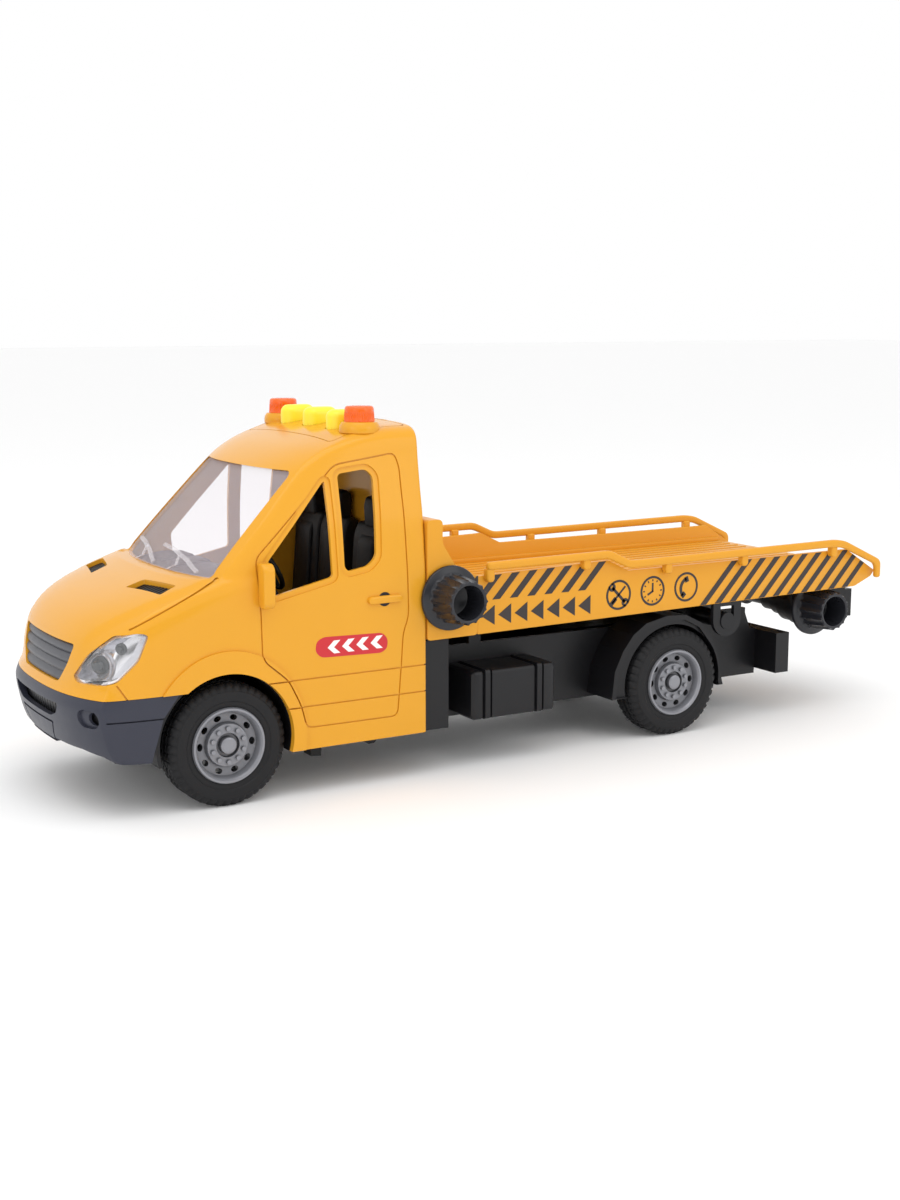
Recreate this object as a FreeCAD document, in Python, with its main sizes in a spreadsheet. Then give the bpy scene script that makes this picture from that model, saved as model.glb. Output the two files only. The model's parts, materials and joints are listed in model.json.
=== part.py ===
import FreeCAD, Part

import math
import os
import re

Vector = FreeCAD.Vector

# A toy recovery truck, 400 mm long. +X points to the front bumper, +Y to the truck's left
# and +Z up. The origin is on the ground, under the middle of the truck.
# Each row: name, millimetres (or a count, or degrees), what it is.
DIMENSIONS = [
    ("half_length", 200.0, "front of bumper and tail of bed, from the origin"),
    # running gear
    ("tyre_radius", 24.5, "outer radius of a tyre, and height of the axles"),
    ("rim_radius", 15.2, "radius where the rim meets the tyre"),
    ("wheel_outer", 52.6, "outer face of a wheel, from the middle of the truck"),
    ("tyre_width", 16.0, "width of a tyre"),
    ("front_axle_x", 139.0, "front axle"),
    ("rear_axle_x", -79.5, "rear axle"),
    ("axle_radius", 1.5, "steel axle"),
    ("running_gap", 0.05, "radial clearance of a shaft that turns in a hole"),
    ("wheel_holes", 10.0, "ventilation holes and wheel nuts of a rim"),
    # chassis
    ("wall", 2.0, "thickness of the moulded walls"),
    ("frame_half", 31.8, "half width of the chassis frame"),
    ("frame_bottom", 18.0, "underside of the chassis frame"),
    ("frame_top", 49.0, "top of the chassis side walls"),
    ("frame_rear", -144.0, "rear end of the chassis side walls"),
    ("frame_front", 178.0, "front end of the chassis floor"),
    ("nose_top", 36.0, "top of the chassis walls under the cab"),
    ("back_panel_rear", 40.0, "rear face of the panel behind the cab"),
    ("back_panel_half", 51.7, "half width of the panel behind the cab"),
    ("back_panel_top", 56.7, "top of the panel behind the cab"),
    ("beam_half", 47.0, "half length of the rear beam"),
    ("beam_depth", 8.0, "rear beam, front to back"),
    ("beam_bottom", 20.6, "underside of the rear beam"),
    ("beam_top", 39.8, "top of the rear beam"),
    ("toolbox_rear", -13.0, "toolbox, rear end"),
    ("toolbox_front", 29.0, "toolbox, front end"),
    ("toolbox_outer", 53.5, "toolbox, outer face"),
    ("toolbox_bottom", 20.4, "toolbox, underside"),
    ("toolbox_top", 42.0, "toolbox, top"),
    ("mudguard_outer", 50.8, "outer edge of a rear mudguard"),
    ("mudguard_band", 2.3, "thickness of a rear mudguard"),
    # cab
    ("cab_rear", 51.4, "rear face of the cab"),
    ("cab_bottom", 18.9, "lower edge of the cab"),
    ("cab_half", 53.5, "half width of the cab below the windows"),
    ("bumper_bottom", 22.1, "lower edge of the bumper"),
    ("bumper_top", 47.6, "seam between bumper and cab"),
    ("glass_bottom", 89.5, "lower edge of the windscreen"),
    ("glass_top", 128.8, "upper edge of the windscreen"),
    ("roof_panel_half", 39.9, "half width of the roof panel"),
    ("roof_panel_front", 88.0, "front edge of the roof panel"),
    ("roof_top", 147.0, "highest plane that the roof stays under"),
    ("beacon_x", 72.6, "beacon, along the truck"),
    ("beacon_y", 36.1, "beacon, from the middle"),
    ("beacon_top", 153.1, "top of a beacon"),
    ("beacon_seat", 146.8, "top of the beacon's bezel"),
    ("button_pitch", 21.8, "distance between two sound buttons"),
    ("button_length", 15.0, "button, along the truck"),
    ("button_width", 9.0, "button, across the truck"),
    ("button_top", 151.0, "top of a button at rest"),
    ("button_travel", 1.2, "how far a button goes down"),
    ("button_gap", 0.35, "clearance round a button"),
    ("cell_radius", 5.8, "button cell"),
    ("cell_height", 5.4, "button cell"),
    # bed
    ("bed_half", 53.5, "half width of the bed over its side panels"),
    ("deck_top", 70.0, "loading surface"),
    ("deck_bottom", 67.5, "underside of the deck plate"),
    ("bed_bottom", 60.0, "lower edge of the side panels, at the tail"),
    ("bed_bottom_front", 57.2, "lower edge of the headboard, where it meets the cab"),
    ("deck_front", 27.0, "front end of the deck, at the headboard"),
    ("headboard_front", 51.0, "front face of the headboard"),
    ("headboard_top", 107.0, "top of the headboard"),
    ("rail_y", 56.3, "middle of a side rail"),
    ("rail_depth", 2.6, "side rail, across the truck"),
    ("rail_height", 3.6, "side rail, upright"),
    ("beam_inner", 33.0, "inner face of a bed beam"),
    ("beam_outer", 39.0, "outer face of a bed beam"),
    ("bed_beam_bottom", 57.6, "underside of the bed beams"),
    ("bed_rest", 63.5, "underside of the cross members, which come down on the chassis"),
    ("pivot_x", -108.0, "bed pivot, along the truck"),
    ("pivot_z", 50.5, "bed pivot, above the ground"),
    ("pivot_radius", 3.9, "bed pivot pin"),
    ("hanger_inner", 51.3, "inner face of a bed hanger"),
    # winches
    ("winch_x", 41.0, "front winch shaft"),
    ("winch_z", 74.5, "front winch shaft"),
    ("spool_x", -173.5, "rear winch shaft"),
    ("spool_z", 49.0, "rear winch shaft"),
    ("shaft_radius", 2.5, "winch shafts"),
    ("knob_flange_radius", 13.5, "flange of a winch knob"),
    ("knob_base_radius", 10.2, "fluted grip at the flange"),
    ("knob_tip_radius", 9.2, "fluted grip at its open end"),
    ("knob_bore_radius", 7.1, "hollow of a winch knob"),
    ("knob_bore_depth", 13.4, "depth of that hollow"),
    ("knob_length", 16.0, "winch knob, flange to open end"),
    ("knob_flange", 2.0, "thickness of the flange"),
    ("winch_knob_y", 54.0, "inner face of a front knob"),
    ("spool_knob_y", 38.8, "inner face of a rear knob"),
    ("spool_plate_outer", 38.4, "outer face of the rear winch frame"),
    # friction motor
    ("gear_module", 0.5, "module of the motor's gears"),
    ("wheel_teeth", 36.0, "teeth of the two large gears"),
    ("pinion_teeth", 12.0, "teeth of the two pinions"),
    ("flywheel_radius", 9.0, "flywheel"),
    ("motor_shaft_radius", 1.0, "shafts of the intermediate gear and the flywheel"),
    ("motor_rear", -91.0, "motor housing, rear end"),
    ("motor_front", -46.5, "motor housing, front end"),
    ("motor_right", -13.5, "motor housing, right side"),
    ("motor_left", 10.5, "motor housing, left side"),
    ("motor_split", 2.5, "plane where the housing halves meet"),
    ("motor_bottom", 12.5, "underside of the motor housing"),
    ("motor_top", 45.5, "top of the motor housing"),
    ("motor_wall", 1.5, "wall of the motor housing"),
]

doc = FreeCAD.newDocument("recovery_truck")
sheet = doc.addObject("Spreadsheet::Sheet", "dims")
for row, (alias, value, meaning) in enumerate(DIMENSIONS, start=1):
    sheet.set(f"A{row}", alias)
    sheet.set(f"B{row}", str(value))
    sheet.set(f"C{row}", meaning)
    sheet.setAlias(f"B{row}", alias)
doc.recompute()

ALIASES = {alias for alias, value, meaning in DIMENSIONS}
SUBPARTS = []


# ---------------------------------------------------------------- helpers

def dim(name):
    """The value of one cell of the sheet."""
    return float(getattr(sheet, name))


def formula(text):
    """A formula in plain dimension names, as an expression that the document follows."""
    def qualify(match):
        word = match.group(0)
        return "dims." + word if word in ALIASES else word
    return re.sub(r"[a-z_]+", qualify, str(text))


def bind(thing, **formulas):
    for prop, text in formulas.items():
        thing.setExpression(prop.replace("__", "."), formula(text))


def place(thing, x=0, y=0, z=0):
    bind(thing, Placement__Base__x=x, Placement__Base__y=y, Placement__Base__z=z)


def subpart(name, thing):
    """Marks an object as one of the pieces that the truck is assembled from."""
    thing.Label = name
    SUBPARTS.append(thing)
    return thing


def block(x, y, z):
    """A box between pairs of coordinates."""
    box = doc.addObject("Part::Box", "block")
    bind(box, Length=f"({x[1]}) - ({x[0]})", Width=f"({y[1]}) - ({y[0]})", Height=f"({z[1]}) - ({z[0]})")
    place(box, x[0], y[0], z[0])
    return box


def both_sides(low, high):
    """The same span to the left and to the right of the middle."""
    return [(low, high), (f"-({high})", f"-({low})")]


def one_side(side, near, far):
    """A span from near to far on the left (side 1) or on the right (side -1)."""
    return (near, far) if side > 0 else (f"-({far})", f"-({near})")


TURNS = {
    "x": FreeCAD.Rotation(Vector(0, 1, 0), 90),
    "y": FreeCAD.Rotation(Vector(1, 0, 0), -90),
    "z": FreeCAD.Rotation(),
}


def rod(axis, radius, start, length, tip_radius=None):
    """A cylinder, or a cone with a tip radius, from a point along +x, +y or +z."""
    kind = "Part::Cylinder" if tip_radius is None else "Part::Cone"
    solid = doc.addObject(kind, "rod")
    solid.Placement = FreeCAD.Placement(Vector(), TURNS[axis])
    if tip_radius is None:
        bind(solid, Radius=radius, Height=length)
    else:
        bind(solid, Radius1=radius, Radius2=tip_radius, Height=length)
    place(solid, *start)
    return solid


def fuse(*pieces):
    joined = doc.addObject("Part::MultiFuse", "fuse")
    joined.Shapes = list(pieces)
    joined.Refine = True
    return joined


def group(*pieces):
    """Separate solids that share one node."""
    together = doc.addObject("Part::Compound", "group")
    together.Links = list(pieces)
    return together


def cut(base, *tools):
    result = doc.addObject("Part::Cut", "cut")
    result.Base = base
    result.Tool = tools[0] if len(tools) == 1 else fuse(*tools)
    result.Refine = True
    return result


def fillet(base, radius, chosen):
    """Rounds the edges of a Part object that a test on the edge picks out."""
    doc.recompute()
    edges = [i for i, edge in enumerate(base.Shape.Edges, start=1) if chosen(edge)]
    rounded = doc.addObject("Part::Fillet", "fillet")
    rounded.Base = base
    rounded.Edges = [(i, radius, radius) for i in edges]
    return rounded


def runs_along(edge, axis):
    """True for a straight edge parallel to x, y or z."""
    if edge.Curve.TypeId != "Part::GeomLine":
        return False
    size = edge.Vertexes[0].Point - edge.Vertexes[1].Point
    return abs(getattr(size, axis)) > 0.999 * size.Length


def feature(name, shape):
    """A shape that no primitive or sketch gives, such as a lofted panel."""
    holder = doc.addObject("Part::Feature", name)
    holder.Shape = shape
    holder.Placement = FreeCAD.Placement()
    return holder


ROLES = {"xy": "XY_Plane", "xz": "XZ_Plane", "yz": "YZ_Plane"}


def origin_item(body, role):
    return next(item for item in body.Origin.OriginFeatures if item.Role == role)


def new_sketch(body, plane, height=0):
    """A sketch on one of a body's own planes, moved along the third axis by a height."""
    sketch = body.newObject("Sketcher::SketchObject", "sketch")
    sketch.AttachmentSupport = (origin_item(body, ROLES[plane]), [""])
    sketch.MapMode = "FlatFace"
    sign = "-" if plane == "xz" else ""
    bind(sketch, AttachmentOffset__Base__z=f"{sign}({height})")
    return sketch


def outline(sketch, points):
    corners = [Vector(a, b, 0) for a, b in points]
    for here, there in zip(corners, corners[1:] + corners[:1]):
        sketch.addGeometry(Part.LineSegment(here, there), False)


def prism(plane, points, start, stop):
    """A body with one pad: a closed outline in a plane, from start to stop along the third axis."""
    body = doc.addObject("PartDesign::Body", "body")
    sketch = new_sketch(body, plane, start)
    outline(sketch, points)
    pad = body.newObject("PartDesign::Pad", "pad")
    pad.Profile = sketch
    pad.Reversed = plane == "xz"
    bind(pad, Length=f"({stop}) - ({start})")
    return body


def turned(profile, x=0, y=0, z=0):
    """A body of revolution about the Y direction: profile points are (radius, y)."""
    body = doc.addObject("PartDesign::Body", "body")
    sketch = new_sketch(body, "xy")
    outline(sketch, profile)
    spin = body.newObject("PartDesign::Revolution", "revolution")
    spin.Profile = sketch
    spin.ReferenceAxis = (sketch, ["V_Axis"])
    spin.Angle = 360.0
    place(body, x, y, z)
    return body


def polar_copies(body, features, count):
    """Repeats features of a body round its own Y axis."""
    pattern = body.newObject("PartDesign::PolarPattern", "pattern")
    pattern.Originals = features
    pattern.Axis = (origin_item(body, "Y_Axis"), [""])
    pattern.Angle = 360.0
    bind(pattern, Occurrences=count)
    body.Tip = pattern
    return pattern


# ---------------------------------------------------------------- cab surfaces

# Centre line of the truck's front, bumper to roof: height and how far forward.
FRONT_LINE = [
    (18.9, 190.0), (22.1, 192.5), (25.0, 195.5), (36.0, 199.0), (43.0, 200.0), (47.6, 198.6),
    (50.8, 197.0), (58.5, 195.8), (66.2, 194.0), (71.7, 190.7), (75.0, 187.0), (78.9, 179.8),
    (81.2, 174.2), (83.5, 168.5), (85.1, 165.0), (86.7, 161.2), (88.2, 156.2), (89.5, 151.5),
    (102.6, 138.4), (115.7, 125.1), (128.8, 111.6), (132.0, 108.8), (148.0, 101.0),
]
# Half width of the cab: height and share of the full half width lost to the slope of the sides.
SIDE_LINE = [(18.9, 0.0), (83.0, 0.0), (95.0, 0.9), (108.0, 2.1), (120.0, 4.2), (132.0, 6.5), (148.0, 7.6)]
# Roof line seen from the side, windscreen top to rear edge.
ROOF_LINE = [
    (113.0, 127.3), (109.0, 131.6), (99.5, 136.6), (89.0, 140.6), (80.0, 143.4), (69.5, 144.8), (40.0, 146.4),
]
# Roof seen from the front, side to middle.
CROWN_LINE = [
    (56.0, 120.0), (48.5, 134.0), (47.2, 139.5), (44.9, 143.3), (40.0, 145.0), (24.0, 146.2), (0.0, 146.9),
]
# Bow of the cab's front seen from above: front(y) = middle - BOW_2 (y/36.3)^2 - BOW_4 (y/36.3)^4.
BOW_2 = 2.49
BOW_4 = 1.48
BOW_SCALE = 36.3
CORNER_IN = 3.4
CORNER_BACK = (13.0, 27.0)


def interpolate(table, at):
    for (a, low), (b, high) in zip(table, table[1:]):
        if a <= at <= b:
            return low + (high - low) * (at - a) / (b - a)
    return table[0][1] if at < table[0][0] else table[-1][1]


def bow(y):
    share = abs(y) / BOW_SCALE
    return BOW_2 * share ** 2 + BOW_4 * share ** 4


def cab_section(height, inset):
    """One level outline of the cab, moved inwards by inset."""
    front = interpolate(FRONT_LINE, height) - inset
    half = dim("cab_half") - interpolate(SIDE_LINE, height) - inset
    corner = half - CORNER_IN
    corner_x = front - bow(corner)
    ys = [corner * step / 4 for step in range(-4, 5)]
    points = [Vector(front - bow(y), y, height) for y in ys]
    near, far = CORNER_BACK
    for side in (-1, 1):
        blend = [Vector(corner_x - near, side * (half - 1.2), height),
                 Vector(corner_x - far, side * half, height)]
        points = points + blend if side > 0 else blend[::-1] + points
    rear = dim("cab_rear") + inset
    curve = Part.BSplineCurve()
    curve.interpolate(points)
    back_right = Vector(rear, -half, height)
    back_left = Vector(rear, half, height)
    lines = [(points[-1], back_left), (back_left, back_right), (back_right, points[0])]
    return Part.Wire([curve.toShape()] + [Part.makeLine(a, b) for a, b in lines])


def cuboid(x, y, z):
    """A plain box shape between pairs of coordinates."""
    return Part.makeBox(x[1] - x[0], y[1] - y[0], z[1] - z[0], Vector(x[0], y[0], z[0]))


def extruded(points, along):
    wire = Part.makePolygon(points + points[:1])
    return Part.Face(wire).extrude(along)


def cab_solid(inset, bottom):
    """The cab as a solid block, moved inwards by inset; its underside at a given height."""
    heights = [bottom] + [height for height, front in FRONT_LINE if height > bottom + 0.5]
    block_shape = Part.makeLoft([cab_section(height, inset) for height in heights], True, True)
    wide = 70.0
    roof = [Vector(x, -wide, z - inset) for x, z in ROOF_LINE]
    underneath = [Vector(40.0, -wide, 0.0), Vector(230.0, -wide, 0.0)]
    side_view = [Vector(230.0, -wide, roof[0].z)] + roof + underneath
    crown = [Vector(20.0, y, z - inset) for y, z in CROWN_LINE]
    other = [Vector(20.0, -y, z - inset) for y, z in CROWN_LINE[-2::-1]]
    front_view = crown + other + [Vector(20.0, -70.0, 0.0), Vector(20.0, 70.0, 0.0)]
    block_shape = block_shape.common(extruded(side_view, Vector(0, 2 * wide, 0)))
    return block_shape.common(extruded(front_view, Vector(220, 0, 0)))


def cab_layer(outside, inside, bottom="cab_bottom"):
    """The skin of the cab between two depths below its surface, open underneath."""
    low = dim(bottom)
    return cab_solid(outside, low).cut(cab_solid(inside, low - 5.0))


def side_prism(points, y_low, y_high):
    """A prism from an outline seen from the side: points are (x, z)."""
    return extruded([Vector(x, y_low, z) for x, z in points], Vector(0, y_high - y_low, 0))


def front_prism(points, x_low, x_high):
    """A prism from an outline seen from the front: points are (y, z)."""
    return extruded([Vector(x_low, y, z) for y, z in points], Vector(x_high - x_low, 0, 0))


def top_prism(points, z_low, z_high):
    """A prism from an outline seen from above: points are (x, y)."""
    return extruded([Vector(x, y, z_low) for x, y in points], Vector(0, 0, z_high - z_low))


def flipped(points):
    """The same outline seen from above, on the truck's right."""
    return [(a, -b) for a, b in reversed(points)]


# ---------------------------------------------------------------- cab

WINDSCREEN = [(-46.0, 89.5), (46.0, 89.5), (42.5, 127.0), (40.5, 128.8), (-40.5, 128.8), (-42.5, 127.0)]
FRONT_WINDOW = [(119.6, 81.5), (121.3, 94.8), (95.4, 124.0), (94.4, 124.6), (93.6, 87.1)]
REAR_WINDOW = [
    (88.6, 127.2), (76.0, 128.6), (72.8, 125.5), (73.9, 93.7), (77.7, 90.2), (86.6, 88.8), (88.2, 90.5),
]
BUMPER_SIDE = [(159.0, 47.6), (165.8, 38.7), (170.0, 25.0), (172.5, 16.0), (230.0, 16.0), (230.0, 47.6)]
GRILLE = [(-29.9, 66.2), (-27.0, 58.0), (-21.1, 50.7), (21.1, 50.7), (27.0, 58.0), (29.9, 66.2)]
HEADLIGHT = [
    (193.5, 32.2, 54.5), (192.8, 35.1, 52.5), (187.6, 48.3, 53.0), (182.1, 50.8, 54.3), (173.7, 51.8, 61.8),
    (169.9, 52.2, 71.4), (173.1, 50.9, 72.3), (182.4, 47.2, 71.4), (189.5, 39.1, 63.7),
]
HOOD_VENT = [(155.1, 42.4), (160.2, 21.6), (167.5, 20.5), (162.2, 43.6)]
ARCH_CENTRE_Z = 26.0
ARCH_RADIUS = 27.3
# Where the bowl of the left headlight's reflector is centred, and its radius.
BOWL_CENTRE = (184.0, 45.0, 62.0)
BOWL_RADIUS = 9.0
HEADLIGHT_REACH = 24.0
# Air slot, number plate recess and fog lamps in the bumper.
AIR_SLOT = ((190.0, 210.0), (-22.0, 22.0), (37.5, 43.0))
PLATE_RECESS = ((196.6, 216.6), (-14.0, 14.0), (23.0, 34.0))
FOG_LAMP_Y = 44.0
FOG_LAMP_Z = 37.3
FOG_LAMP_RADIUS = 3.0


def headlight_space(side):
    """The headlight's outline, carried inwards along the diagonal that it faces."""
    diagonal = Vector(1, 1, 0).normalize()
    flat = []
    for x, y, z in HEADLIGHT:
        point = Vector(x, y, z)
        flat.append(point + diagonal * (165.0 - point.dot(diagonal)))
    shape = extruded(flat, diagonal * -HEADLIGHT_REACH)
    return shape if side > 0 else shape.mirror(Vector(), Vector(0, 1, 0))


def windscreen_space():
    return front_prism(WINDSCREEN, 100.0, 170.0)


def grille_space():
    return front_prism(GRILLE, 180.0, 230.0)


def vent_spaces():
    return [top_prism(points, 75.0, 95.0) for points in (HOOD_VENT, flipped(HOOD_VENT))]


def roof_opening(gap):
    """The space of the roof panel, smaller by a gap on every side."""
    half = dim("roof_panel_half") - gap
    rear = dim("cab_rear") + dim("wall") + gap
    front = dim("roof_panel_front") - gap
    return cuboid((rear, front), (-half, half), (135.0, 155.0))


def wheel_arch(radius, y_low, y_high):
    centre = Vector(dim("front_axle_x") + 0.5, y_low, ARCH_CENTRE_Z)
    return Part.makeCylinder(radius, y_high - y_low, centre, Vector(0, 1, 0))


def cab_openings():
    """Everything that is open in the walls of the cab."""
    reach = dim("cab_half") + 10.0
    seam = dim("bumper_top")
    rear = dim("cab_rear")
    frame_half = dim("frame_half")
    nose_top = dim("nose_top")
    bumper_bay = cuboid((150.0, 230.0), (-reach, reach), (seam - 40.0, seam))
    frame_notch = cuboid((rear - 1.0, rear + dim("wall") + 1.0), (-frame_half, frame_half),
                         (nose_top - 30.0, nose_top))
    openings = [windscreen_space(), bumper_bay, grille_space(), roof_opening(0.0), frame_notch]
    openings += vent_spaces()
    openings += [headlight_space(side) for side in (1, -1)]
    for low, high in ((40.0, reach), (-reach, -40.0)):
        openings.append(side_prism(FRONT_WINDOW, low, high))
        openings.append(side_prism(REAR_WINDOW, low, high))
        openings.append(wheel_arch(ARCH_RADIUS, low, high))
    return openings


def make_cab():
    """The cab's shell. Gives back its outside, its cavity and its walls without the openings."""
    outer = cab_solid(0.0, dim("cab_bottom"))
    cavity = cab_solid(dim("wall"), dim("cab_bottom") - 5.0)
    walls = outer.cut(cavity)
    subpart("cab_shell", feature("cab_shell", walls.cut(cab_openings())))
    return outer, cavity, walls


def make_glazing():
    thin = cab_layer(0.3, 1.7)
    subpart("windscreen", feature("windscreen", thin.common(windscreen_space())))
    for side, name in ((1, "left"), (-1, "right")):
        lens = thin.common(headlight_space(side))
        subpart(f"headlight_lens_{name}", feature("headlight_lens", lens))


def make_reflectors():
    """A block behind each headlight lens, with a round bowl in it."""
    deep = cab_layer(2.2, 9.0)
    x, y, z = BOWL_CENTRE
    blocks = []
    for side in (1, -1):
        bowl = Part.makeSphere(BOWL_RADIUS, Vector(x, side * y, z))
        blocks.append(deep.common(headlight_space(side)).cut(bowl))
    subpart("headlight_reflectors", feature("headlight_reflectors", Part.makeCompound(blocks)))


def make_front_inserts():
    """The grille, and the mesh inserts of the two vents in the bonnet."""
    subpart("grille", feature("grille", cab_layer(0.8, 3.2).common(grille_space())))
    layer = cab_layer(0.8, 2.6)
    inserts = [layer.common(vent) for vent in vent_spaces()]
    subpart("hood_vents", feature("hood_vents", Part.makeCompound(inserts)))


def make_bumper():
    reach = dim("cab_half") + 10.0
    holes = [cuboid(*AIR_SLOT), cuboid(*PLATE_RECESS)]
    for side in (1, -1):
        start = Vector(165.0, side * FOG_LAMP_Y, FOG_LAMP_Z)
        holes.append(Part.makeCylinder(FOG_LAMP_RADIUS, 40.0, start, Vector(1, 0, 0)))
    skin = cab_layer(0.0, 2.4, "bumper_bottom").common(side_prism(BUMPER_SIDE, -reach, reach))
    subpart("bumper", feature("bumper", skin.cut(holes)))


def button_outline(grow):
    """A button's rounded outline, seen from above: centre to end and half width."""
    half_width = dim("button_width") / 2 + grow
    straight = dim("button_length") / 2 - dim("button_width") / 2
    return half_width, straight


def slot_solid(centre, half_width, straight, bottom, top):
    """An upright bar with round ends."""
    x, y = centre
    middle = cuboid((x - straight, x + straight), (y - half_width, y + half_width), (bottom, top))
    ends = [Part.makeCylinder(half_width, top - bottom, Vector(x + end * straight, y, bottom))
            for end in (-1, 1)]
    return middle.fuse(ends).removeSplitter()


BUTTON_X = 72.5
BUTTON_NAMES = {"right": -1, "middle": 0, "left": 1}
# A button's flange sits under the roof panel; the board and its switches are below the buttons.
BUTTON_FLANGE = (139.6, 140.6)
BUTTON_EDGE = 1.6
BOARD = ((58.0, 80.0), (-28.0, 28.0), (135.2, 136.8))
SWITCH_HALF = 3.0
SWITCH_TOP = 138.0
LED_RADIUS = 1.5
LED_FOOT = 139.5
LED_HEIGHT = 9.0
BEZEL_RADIUS = 7.95
LENS_INSIDE = 4.9
TRAY = ((56.0, 83.2), (-34.0, 34.0), (127.6, 139.4))
TRAY_WALL = 1.2
SPEAKER_Y = -18.0
CELL_PLACES = (-1.0, 11.0, 23.0)


def make_roof_panel(walls):
    holes = []
    for side in (1, -1):
        led = Vector(dim("beacon_x"), side * dim("beacon_y"), 130.0)
        holes.append(Part.makeCylinder(LED_RADIUS + 0.1, 30.0, led))
    half_width, straight = button_outline(dim("button_gap"))
    for step in BUTTON_NAMES.values():
        holes.append(slot_solid((BUTTON_X, step * dim("button_pitch")), half_width, straight, 130.0, 160.0))
    panel = walls.common(roof_opening(0.1))
    subpart("roof_panel", feature("roof_panel", panel.cut(holes)))


def make_beacons(outer):
    """A bezel on each front corner of the roof panel, and the orange cup that stands on it."""
    bezels = []
    for side in (1, -1):
        foot = Vector(dim("beacon_x"), side * dim("beacon_y"), 140.0)
        ring = Part.makeCylinder(BEZEL_RADIUS, dim("beacon_seat") - foot.z, foot)
        bezels.append(ring.cut(outer).cut(Part.makeCylinder(LENS_INSIDE, 20.0, foot)))
    subpart("beacon_bezels", feature("beacon_bezels", Part.makeCompound(bezels)))

    for side, name in ((1, "left"), (-1, "right")):
        seat = ("beacon_x", f"{side} * beacon_y", "beacon_seat")
        cup = rod("z", 6.2, seat, "beacon_top - beacon_seat", 5.65)
        hollow = rod("z", LENS_INSIDE, seat, "beacon_top - beacon_seat - 1.2")
        subpart(f"beacon_lens_{name}", cut(cup, hollow))


def make_buttons():
    top = dim("button_top")
    half_width, straight = button_outline(0.0)
    for name, step in BUTTON_NAMES.items():
        centre = (BUTTON_X, step * dim("button_pitch"))
        cap = slot_solid(centre, half_width, straight, BUTTON_FLANGE[0], top)
        rim = [edge for edge in cap.Edges if edge.BoundBox.ZMin > top - 0.01]
        cap = cap.makeFillet(BUTTON_EDGE, rim)
        flange = slot_solid(centre, half_width + 1.0, straight, *BUTTON_FLANGE)
        subpart(f"sound_button_{name}", feature("sound_button", cap.fuse(flange)))


def make_electronics():
    board_top = BOARD[2][1]
    switches = []
    for step in BUTTON_NAMES.values():
        y = step * dim("button_pitch")
        across = [(centre - SWITCH_HALF, centre + SWITCH_HALF) for centre in (BUTTON_X, y)]
        switches.append(cuboid(*across, (board_top, SWITCH_TOP)))
    subpart("sound_board", feature("sound_board", cuboid(*BOARD).fuse(switches)))

    leds = []
    for side in (1, -1):
        foot = Vector(dim("beacon_x"), side * dim("beacon_y"), LED_FOOT)
        stem = Part.makeCylinder(LED_RADIUS, LED_HEIGHT, foot)
        leds.append(stem.fuse(Part.makeSphere(LED_RADIUS, foot + Vector(0, 0, LED_HEIGHT))))
    subpart("beacon_leds", feature("beacon_leds", Part.makeCompound(leds)))

    x, y, z = TRAY
    seat = z[0] + TRAY_WALL
    cone = rod("z", 8.5, (69.0, SPEAKER_Y, seat + 3.0), 3.0)
    subpart("speaker", cut(rod("z", 10.0, (69.0, SPEAKER_Y, seat), 4.6), cone))
    cells = [rod("z", "cell_radius", (69.0, place_y, seat), "cell_height") for place_y in CELL_PLACES]
    subpart("button_cells", group(*cells))
    inside = [(low + TRAY_WALL, high - TRAY_WALL) for low, high in (x, y)]
    subpart("electronics_tray", cut(block(x, y, z), block(*inside, (seat, z[1] + 1.0))))


# Four screws go up through the chassis into posts under the cab's floor.
SCREW_PLACES = [(x, y) for x in (60.0, 103.0) for y in (-24.0, 24.0)]
SCREW_RADIUS = 1.2
FLOOR_HALF = 51.2
SEAT_SIDE = [
    (60.5, 52.0), (88.0, 50.0), (90.0, 46.0), (88.0, 42.0), (58.0, 42.0), (55.2, 60.0), (54.6, 104.0),
    (54.4, 113.0), (56.5, 114.5), (59.5, 113.0), (60.0, 106.0), (62.0, 92.0), (64.5, 66.0), (64.0, 60.0),
]
SEAT_WIDTH = 26.0
SEAT_STARTS = (-34.0, 8.0)
DASH_SIDE = [
    (110.0, 66.0), (110.0, 70.0), (116.0, 84.0), (121.0, 89.0), (140.0, 87.0), (143.0, 84.0), (143.0, 66.0),
]
DASH_HALF = 46.0
STEERING_CENTRE = Vector(106.5, 21.0, 87.0)
STEERING_TILT = -62.0
STEERING_RADIUS = 8.6


def make_interior():
    floor = block(("cab_rear + wall", 112.0), (-FLOOR_HALF, FLOOR_HALF), (40.0, 42.0))
    firewall = block((110.0, 112.0), (-FLOOR_HALF, FLOOR_HALF), (41.0, 66.0))
    posts = [rod("z", 3.0, (x, y, "frame_bottom + wall"), "40 - frame_bottom - wall")
             for x, y in SCREW_PLACES]
    pilots = [rod("z", SCREW_RADIUS, (x, y, "frame_bottom"), 18.0) for x, y in SCREW_PLACES]
    subpart("interior_floor", cut(fuse(floor, firewall, *posts), *pilots))
    subpart("seats", group(*[prism("xz", SEAT_SIDE, low, low + SEAT_WIDTH) for low in SEAT_STARTS]))
    subpart("dashboard", prism("xz", DASH_SIDE, -DASH_HALF, DASH_HALF))


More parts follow.
